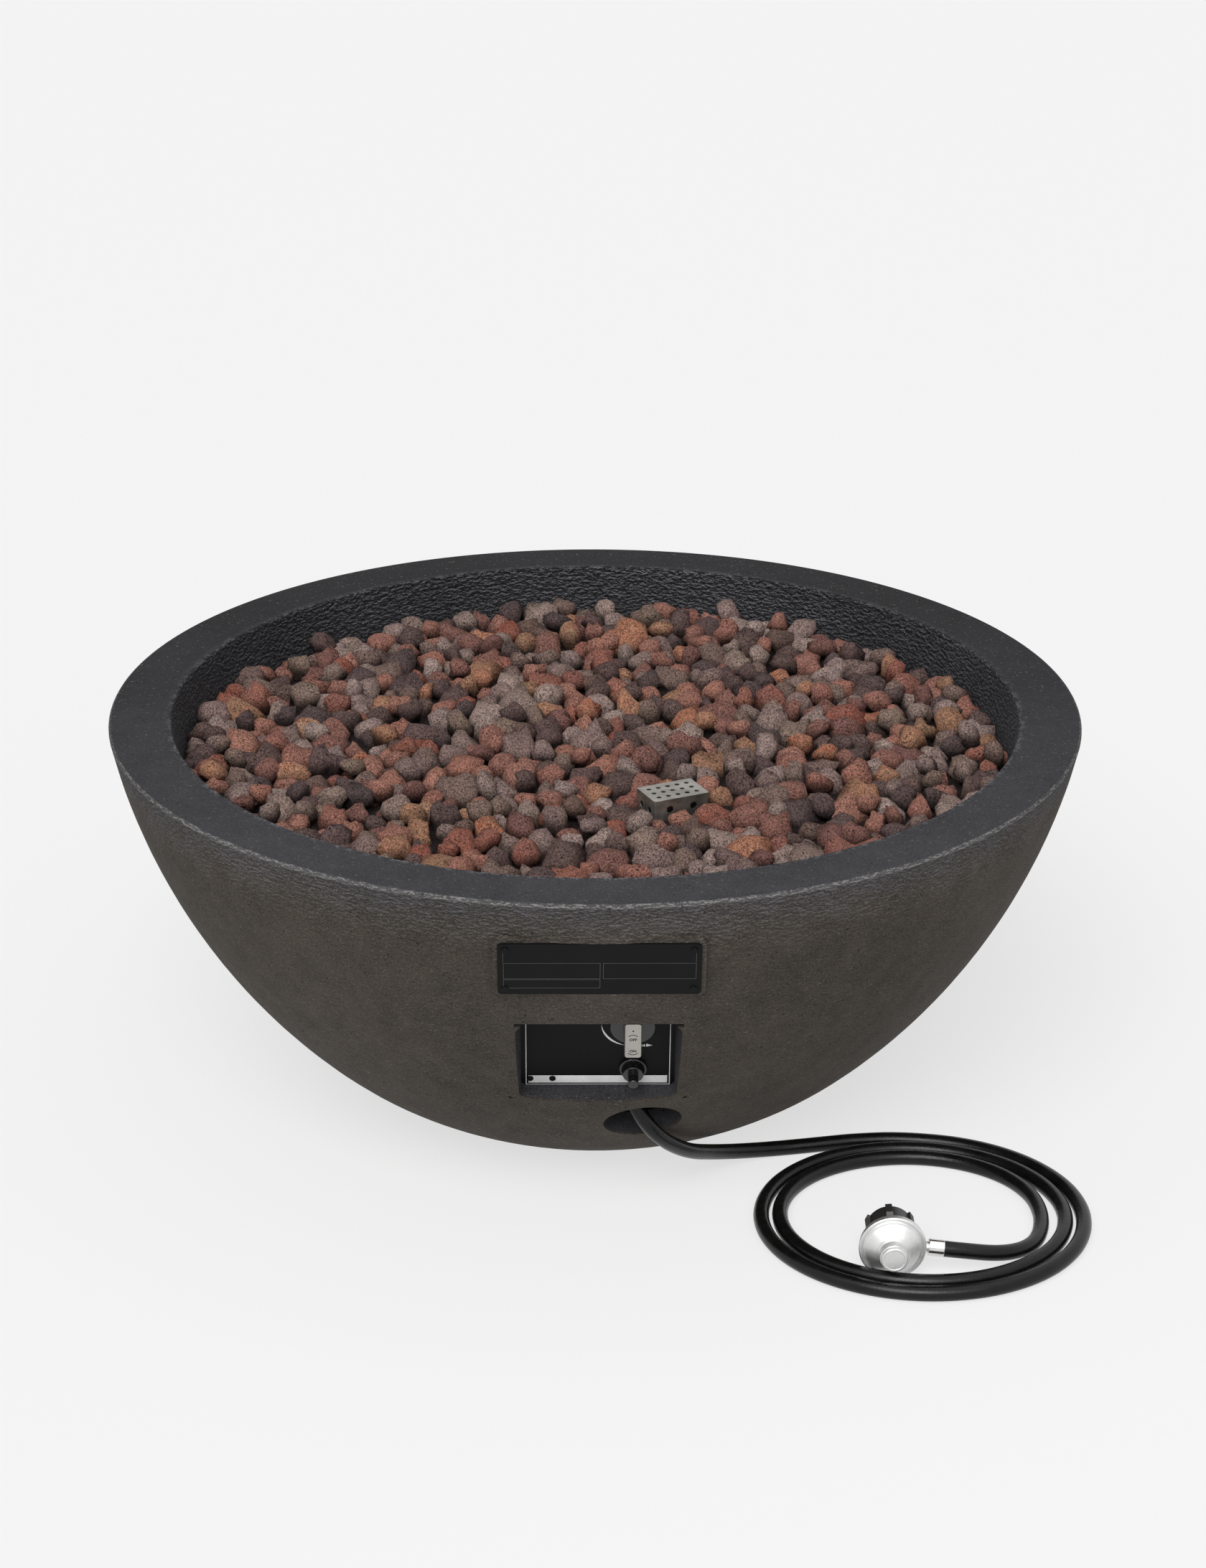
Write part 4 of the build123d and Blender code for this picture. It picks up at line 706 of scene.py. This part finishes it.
def settle_stones(settings):
    """Drops round grains into the bowl. Each lies where it comes to rest lowest, or is left out."""
    rng = np.random.RandomState(settings.stone_seed)
    drops = settings.stone_drops
    span = settings.stone_large - settings.stone_small
    widths = settings.stone_small + span * rng.rand(drops) ** DROP_SKEW
    centres = np.zeros((drops, 3))
    radii = np.zeros(drops)
    kept = 0
    for k, r in enumerate(widths / 2):
        if k > drops * FILLER_START:
            r = min(r, settings.stone_small * FILLER_RADIUS)
        angle = rng.uniform(0, 2 * math.pi, DROP_TRIES)
        reach = (LEDGE_RADIUS + PAST_LEDGE - r * CLEARANCE_SHARE) * np.sqrt(rng.rand(DROP_TRIES))
        spots = np.stack([reach * np.cos(angle), reach * np.sin(angle)], 1)
        beside = beside_cage(spots)
        rest = np.full(DROP_TRIES, settings.stone_floor + r * SUNK_SHARE)
        if kept:
            rest = np.maximum(rest, height_on(spots, r, centres[:kept], radii[:kept]))
        rest[beside <= r * CLEARANCE_SHARE] = NOWHERE
        best = int(rest.argmin())
        limit = settings.stone_top - CAGE_DIP * (beside[best] < CAGE_APRON)
        if rest[best] + STANDING_SHARE * r < limit:
            centres[kept] = (*spots[best], rest[best])
            radii[kept] = r
            kept += 1
    return centres[:kept], radii[:kept], rng


def showing(centres, radii):
    """Which grains are the highest over some spot of the bed."""
    grid = np.arange(-BED_HALF, BED_HALF, BED_CELL)
    gx, gy = np.meshgrid(grid, grid)
    height = np.zeros(gx.shape)
    owner = np.full(gx.shape, -1)
    for k, (centre, r) in enumerate(zip(centres, radii)):
        flat = (gx - centre[0]) ** 2 + (gy - centre[1]) ** 2
        cap = np.where(flat < r * r, centre[2] + np.sqrt(np.maximum(r * r - flat, 0)), 0)
        higher = cap > height
        height[higher] = cap[higher]
        owner[higher] = k
    owned = np.bincount(owner[owner >= 0], minlength=len(radii))
    return owned >= SHOWING_CELLS


def stone_tree():
    """Makes a lumpy stone at every point: a ball sized and turned by the point, then pushed in and out."""
    tree = bpy.data.node_groups.new("stone_pile", "GeometryNodeTree")
    face = tree.interface
    face.new_socket("Points", in_out="INPUT", socket_type="NodeSocketGeometry")
    for name, kind, value in (("Fineness", "NodeSocketInt", 2), ("Lumps", "NodeSocketFloat", 1.0),
                              ("Lump Scale", "NodeSocketFloat", 58.0), ("Dents", "NodeSocketFloat", 0.5),
                              ("Dent Scale", "NodeSocketFloat", 140.0)):
        face.new_socket(name, in_out="INPUT", socket_type=kind).default_value = value
    face.new_socket("Finish", in_out="INPUT", socket_type="NodeSocketMaterial")
    face.new_socket("Stones", in_out="OUTPUT", socket_type="NodeSocketGeometry")
    graph = Graph(tree)
    given = graph.node("NodeGroupInput")

    def named(name):
        return graph.node("GeometryNodeInputNamedAttribute", {"data_type": "FLOAT_VECTOR"}, {"Name": name})

    def lumpy(place, scale, detail, strength):
        """From strength inwards to strength outwards."""
        noise = graph.node("ShaderNodeTexNoise", None, {"Vector": place, "Scale": scale, "Detail": detail})
        return (noise - 0.5) * strength * 2

    ball = graph.node("GeometryNodeMeshIcoSphere", None, {
        "Radius": 1.0, "Subdivisions": given.out("Fineness")})
    placed = graph.node("GeometryNodeInstanceOnPoints", None, {
        "Points": given, "Instance": ball, "Rotation": named("turn"), "Scale": named("size")})
    solid = graph.node("GeometryNodeRealizeInstances", None, {0: placed})
    place = graph.node("GeometryNodeInputPosition")
    middle = named("middle")
    own_place = graph.vectors("MULTIPLY_ADD", middle, LUMPS_APART, place)
    push = (lumpy(own_place, given.out("Lump Scale"), 1.0, given.out("Lumps"))
            + lumpy(own_place, given.out("Dent Scale"), 2.0, given.out("Dents")))
    offset = graph.vectors("SCALE", graph.vectors("SUBTRACT", place, middle), Scale=push)
    moved = graph.node("GeometryNodeSetPosition", None, {0: solid, "Offset": offset})
    smooth = graph.node("GeometryNodeSetShadeSmooth", None, {0: moved})
    whole = graph.node("GeometryNodeRealizeInstances", None, {0: smooth})
    done = graph.node("GeometryNodeSetMaterial", None, {0: whole, "Material": given.out("Finish")})
    graph.node("NodeGroupOutput", None, {0: done})
    return tree


def stone_points(fields):
    """Loose points at each stone's middle, with what the stone tree and the finish read there."""
    places = fields["middle"]
    mesh = bpy.data.meshes.new("points")
    mesh.vertices.add(len(places))
    mesh.vertices.foreach_set("co", places.ravel())
    for name, data in fields.items():
        kind, field = ("FLOAT_VECTOR", "vector") if data.ndim == 2 else ("FLOAT", "value")
        mesh.attributes.new(name, kind, "POINT").data.foreach_set(field, data.ravel())
    return link("points", mesh)


def baked(piece, tree, values, name):
    """The piece's mesh after the tree, as a plain mesh on a new object."""
    modifier = piece.modifiers.new("tree", "NODES")
    modifier.node_group = tree
    for item in tree.interface.items_tree:
        if item.item_type == "SOCKET" and item.in_out == "INPUT" and item.name in values:
            modifier[item.identifier] = values[item.name]
    depsgraph = bpy.context.evaluated_depsgraph_get()
    mesh = bpy.data.meshes.new_from_object(piece.evaluated_get(depsgraph), depsgraph=depsgraph)
    piece.modifiers.remove(modifier)
    old = piece.data
    bpy.data.objects.remove(piece)
    bpy.data.meshes.remove(old)
    return link(name, mesh)


# Sizes and colours that a user would change

class FireBowlSettings(bpy.types.PropertyGroup):
    body_colour: bpy.props.FloatVectorProperty(
        name="Body", description="Stain on the outside of the casting", subtype="COLOR",
        default=(0.052, 0.044, 0.037), min=0, max=1)
    rim_colour: bpy.props.FloatVectorProperty(
        name="Rim", description="Charcoal stain on the rim and inside", subtype="COLOR",
        default=(0.024, 0.024, 0.0265), min=0, max=1)
    # The pale sand's colour is also that of the pale line along the rim's outer edge, which is partly a
    # painted highlight
    sand_and_edge_highlight_colour: bpy.props.FloatVectorProperty(
        name="Sand", description="Pale sand that shows in the stain", subtype="COLOR",
        default=(0.16, 0.155, 0.145), min=0, max=1)
    flecks: bpy.props.FloatProperty(
        name="Flecks", description="How strongly pale sand shows in the stain", subtype="FACTOR",
        default=0.65, min=0, max=1)
    stone_drops: bpy.props.IntProperty(
        name="Stones", description="Stones dropped into the bowl, of which those that find room stay",
        default=3800, min=50, max=6000)
    stone_small: bpy.props.FloatProperty(
        name="Smallest stone", description="Width of the smallest stones", default=0.021, unit="LENGTH")
    stone_large: bpy.props.FloatProperty(
        name="Largest stone", description="Width of the largest stones", default=0.037, unit="LENGTH")
    stone_floor: bpy.props.FloatProperty(
        name="Stone floor", description="Height of the bed under the loose stones", unit="LENGTH",
        default=0.330)
    stone_top: bpy.props.FloatProperty(
        name="Stone top", description="Height that no loose stone stands far above", unit="LENGTH",
        default=0.353)
    stone_seed: bpy.props.IntProperty(
        name="Stone seed", description="Changes how the stones fall", default=11, min=0)
    pore_scale: bpy.props.FloatProperty(
        name="Pores", description="Open pores per metre of stone", default=430.0, min=10)
    hose_diameter: bpy.props.FloatProperty(
        name="Hose", description="Outside diameter of the gas hose", default=0.0144, unit="LENGTH")
    ground_colour: bpy.props.FloatVectorProperty(
        name="Ground", description="Colour of the pale floor", subtype="COLOR",
        default=(0.945, 0.945, 0.945), min=0, max=1)
    sky_light: bpy.props.FloatProperty(
        name="Sky light", description="Strength of the even light all round", default=0.17, min=0)
    over_light: bpy.props.FloatProperty(
        name="Overhead light", description="Strength of the wide soft light from above", default=0.7, min=0)
    key_light: bpy.props.FloatProperty(
        name="Key light", description="Strength of the soft light from the front", default=2.0, min=0)
    box_light: bpy.props.FloatProperty(
        name="Box light", description="Power of the soft box that glints on metal and rubber", default=9.0,
        min=0, unit="POWER")
    shadow_share: bpy.props.FloatProperty(
        name="Shadows", description="How deep the shadows on the floor are", subtype="FACTOR",
        default=0.29, min=0, max=1)


# Operators

class FIREBOWL_OT_camera(bpy.types.Operator):
    """Sets the camera at the photograph's place and angle"""

    bl_idname = "firebowl.camera"
    bl_label = "Camera"

    def execute(self, context):
        data = bpy.data.cameras.new("view")
        data.sensor_width = CAMERA_FILM
        data.lens = CAMERA_LENS
        data.clip_end = CAMERA_REACH
        camera = link("view", data)
        camera.location = CAMERA_PLACE
        facing = (Vector(CAMERA_AIM) - camera.location).to_track_quat("-Z", "Y").to_matrix().to_4x4()
        camera.rotation_euler = (facing @ Matrix.Rotation(CAMERA_ROLL, 4, "Z")).to_euler()
        context.scene.camera = camera
        return {"FINISHED"}


class FIREBOWL_OT_hose(bpy.types.Operator):
    """Lays the gas hose from the valve, round its coil, to the regulator"""

    bl_idname = "firebowl.hose"
    bl_label = "Hose"

    def execute(self, context):
        diameter = settings_of(context).hose_diameter
        points = hose_points()
        curve = bpy.data.curves.new("hose", "CURVE")
        curve.dimensions = "3D"
        spline = curve.splines.new("NURBS")
        spline.points.add(len(points) - 1)
        for point, place in zip(spline.points, points):
            point.co = (*place, 1)
        spline.order_u = 3
        spline.use_endpoint_u = True
        spline.resolution_u = 8
        spline.use_smooth = True
        curve.bevel_depth = diameter / 2
        curve.bevel_resolution = 6
        hose = link("hose", curve)
        finish_piece(hose, hose_rubber(), "bowl")
        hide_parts("hose_lead", "hose_coil", "hose_tail")
        return {"FINISHED"}


class FIREBOWL_OT_finishes(bpy.types.Operator):
    """Gives every CAD piece the finish of its material slot"""

    bl_idname = "firebowl.finishes"
    bl_label = "Finishes"

    def execute(self, context):
        settings = settings_of(context)
        made = {"concrete": cast_stone(settings), "ceramic_white": ceramic(),
                "hose_rubber": material_of("hose_rubber")}
        for slot, look in PLASTICS.items():
            made[slot] = moulded(slot, **look)
        for slot, look in METALS.items():
            made[slot] = metal(slot, **look)
        for tint, stops in STONE_TINTS.items():
            made["lava_" + tint] = porous("lava_" + tint, stops, settings)
        for part in frame["record"]["subparts"]:
            set_material(part["node"], made[part["material_slot"]])
        # The panel's screws are painted with it
        set_material("panel_screws", made["panel_black"])
        return {"FINISHED"}


class FIREBOWL_OT_stones(bpy.types.Operator):
    """Fills the bowl with loose lava stones, in piles by colour"""

    bl_idname = "firebowl.stones"
    bl_label = "Lava stones"

    def execute(self, context):
        centres, radii, rng = settle_stones(settings_of(context))
        shown = showing(centres, radii)
        count = len(radii)
        tree = stone_tree()
        picks = rng.choice(len(STONE_SHARES), count, p=list(STONE_SHARES.values()))
        sizes = rng.uniform(*STONE_SIDES, (count, 3)) * radii[:, None]
        turns = rng.uniform(0, 2 * math.pi, (count, 3))
        tints = rng.rand(count)
        for i, tint in enumerate(STONE_SHARES):
            mine = shown & (picks == i)
            points = stone_points({
                "middle": centres[mine], "size": sizes[mine], "turn": turns[mine], "tint": tints[mine]})
            material = material_of("lava_" + tint)
            pile = baked(points, tree, {"Finish": material}, "lava_stones_" + tint)
            finish_piece(pile, material, "bowl")
            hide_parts("lava_rocks_" + tint)
        return {"FINISHED"}


class FIREBOWL_OT_panel_print(bpy.types.Operator):
    """Prints the control panel's frame line, pale band, arc of flame sizes, two marks and an arrow"""

    bl_idname = "firebowl.panel_print"
    bl_label = "Panel print"

    def execute(self, context):
        ink = Ink(tilted(PANEL_FOOT, PANEL_LEAN))
        for side in (-1, 1):
            ink.upright(side * PANEL_FRAME_SIDE, PANEL_FRAME_FOOT, PANEL_FRAME_TOP, PANEL_LINE)
        foot_end = PANEL_FRAME_SIDE - PANEL_LINE / 2
        ink.bar(-foot_end, PANEL_FRAME_FOOT, foot_end, PANEL_FRAME_FOOT + PANEL_LINE)
        ink.bar(*PANEL_BAND)
        ink.arc(KNOB_AXIS, radius=27.6, start=184, end=256, width=2.0, taper=True)
        for mark in FLAME_MARKS:
            ink.bar(*mark)
        ink.outline(ARROW)
        ink.finish("panel_print", "print_pale", "bowl")
        return {"FINISHED"}


class FIREBOWL_OT_label_print(bpy.types.Operator):
    """Prints thin empty frames on the bare label plate"""

    bl_idname = "firebowl.label_print"
    bl_label = "Label print"

    def execute(self, context):
        ink = Ink(tilted(LABEL_MIDDLE, LABEL_LEAN), LABEL_FACE)
        for corners in LABEL_FRAMES:
            ink.frame(*corners, LABEL_LINE)
        for side in (-1, 1):
            ink.upright(side * LABEL_SIDE, *LABEL_SIDE_ENDS, LABEL_LINE)
        ink.finish("label_print", "print_grey", "bowl")
        return {"FINISHED"}


class FIREBOWL_OT_knob_print(bpy.types.Operator):
    """Marks the knob's grip plate with OFF, ON, a dot and two turning arcs"""

    bl_idname = "firebowl.knob_print"
    bl_label = "Knob print"

    def execute(self, context):
        ink = Ink(tilted(PANEL_FOOT, PANEL_LEAN) @ Matrix.Translation((*KNOB_AXIS, GRIP_FACE)))
        ink.dot((0, 12.2), radius=0.8)
        ink.arc((0, 2.4), radius=5.0, start=38, end=142, width=KNOB_LINE)
        ink.words("OFF", (0, 1.6), LETTER_HEIGHT)
        ink.words("ON", (0, -12.1), LETTER_HEIGHT)
        ink.arc((0, -11.0), radius=5.4, start=218, end=322, width=KNOB_LINE)
        ink.finish("knob_print", "print_black", "knob")
        return {"FINISHED"}


class FIREBOWL_OT_stage(bpy.types.Operator):
    """Sets the pale floor, the even light and the large soft lamps"""

    bl_idname = "firebowl.stage"
    bl_label = "Stage"

    def execute(self, context):
        settings = settings_of(context)
        context.scene.view_settings.view_transform = "Standard"
        context.scene.world = even_sky(settings)
        self.floor(settings)
        self.lamp("box", "AREA", BOX_PLACE, energy=settings.box_light, size=BOX_SIDE)
        self.lamp("key", "SUN", KEY_PLACE, energy=settings.key_light, angle=KEY_SPREAD)
        self.lamp("over", "SUN", OVER_PLACE, energy=settings.over_light, angle=OVER_SPREAD)
        return {"FINISHED"}

    @staticmethod
    def floor(settings):
        grid = bmesh.new()
        bmesh.ops.create_grid(grid, x_segments=4, y_segments=4, size=GROUND_HALF)
        mesh = bpy.data.meshes.new("ground")
        grid.to_mesh(mesh)
        grid.free()
        mesh.transform(Matrix.Translation((0, 0, -GROUND_DROP)))
        ground = link("ground", mesh)
        ground.data.materials.append(ground_paint(settings))

    @staticmethod
    def lamp(name, kind, place, **values):
        """A lamp of this kind that looks at the bowl."""
        data = bpy.data.lights.new(name, kind)
        for key, value in values.items():
            setattr(data, key, value)
        lamp = link(name, data)
        lamp.location = place
        lamp.rotation_euler = (Vector(LAMP_AIM) - Vector(place)).to_track_quat("-Z", "Y").to_euler()


class FIREBOWL_PT_panel(bpy.types.Panel):
    bl_label = "Fire Bowl"
    bl_idname = "FIREBOWL_PT_panel"
    bl_space_type = "VIEW_3D"
    bl_region_type = "UI"
    bl_category = "Fire Bowl"

    def draw(self, context):
        settings = settings_of(context)
        for name in FireBowlSettings.__annotations__:
            self.layout.prop(settings, name)
        for operator in OPERATORS:
            self.layout.operator(operator.bl_idname)


OPERATORS = (FIREBOWL_OT_camera, FIREBOWL_OT_hose, FIREBOWL_OT_finishes, FIREBOWL_OT_stones,
             FIREBOWL_OT_panel_print, FIREBOWL_OT_label_print, FIREBOWL_OT_knob_print, FIREBOWL_OT_stage)
CLASSES = (FireBowlSettings, *OPERATORS, FIREBOWL_PT_panel)


def register():
    for item in CLASSES:
        bpy.utils.register_class(item)
    bpy.types.Scene.fire_bowl = bpy.props.PointerProperty(type=FireBowlSettings)


def unregister():
    del bpy.types.Scene.fire_bowl
    for item in reversed(CLASSES):
        bpy.utils.unregister_class(item)


def main():
    register()
    for operator in OPERATORS:
        group, name = operator.bl_idname.split(".")
        getattr(getattr(bpy.ops, group), name)()


if __name__ == "__main__":
    main()
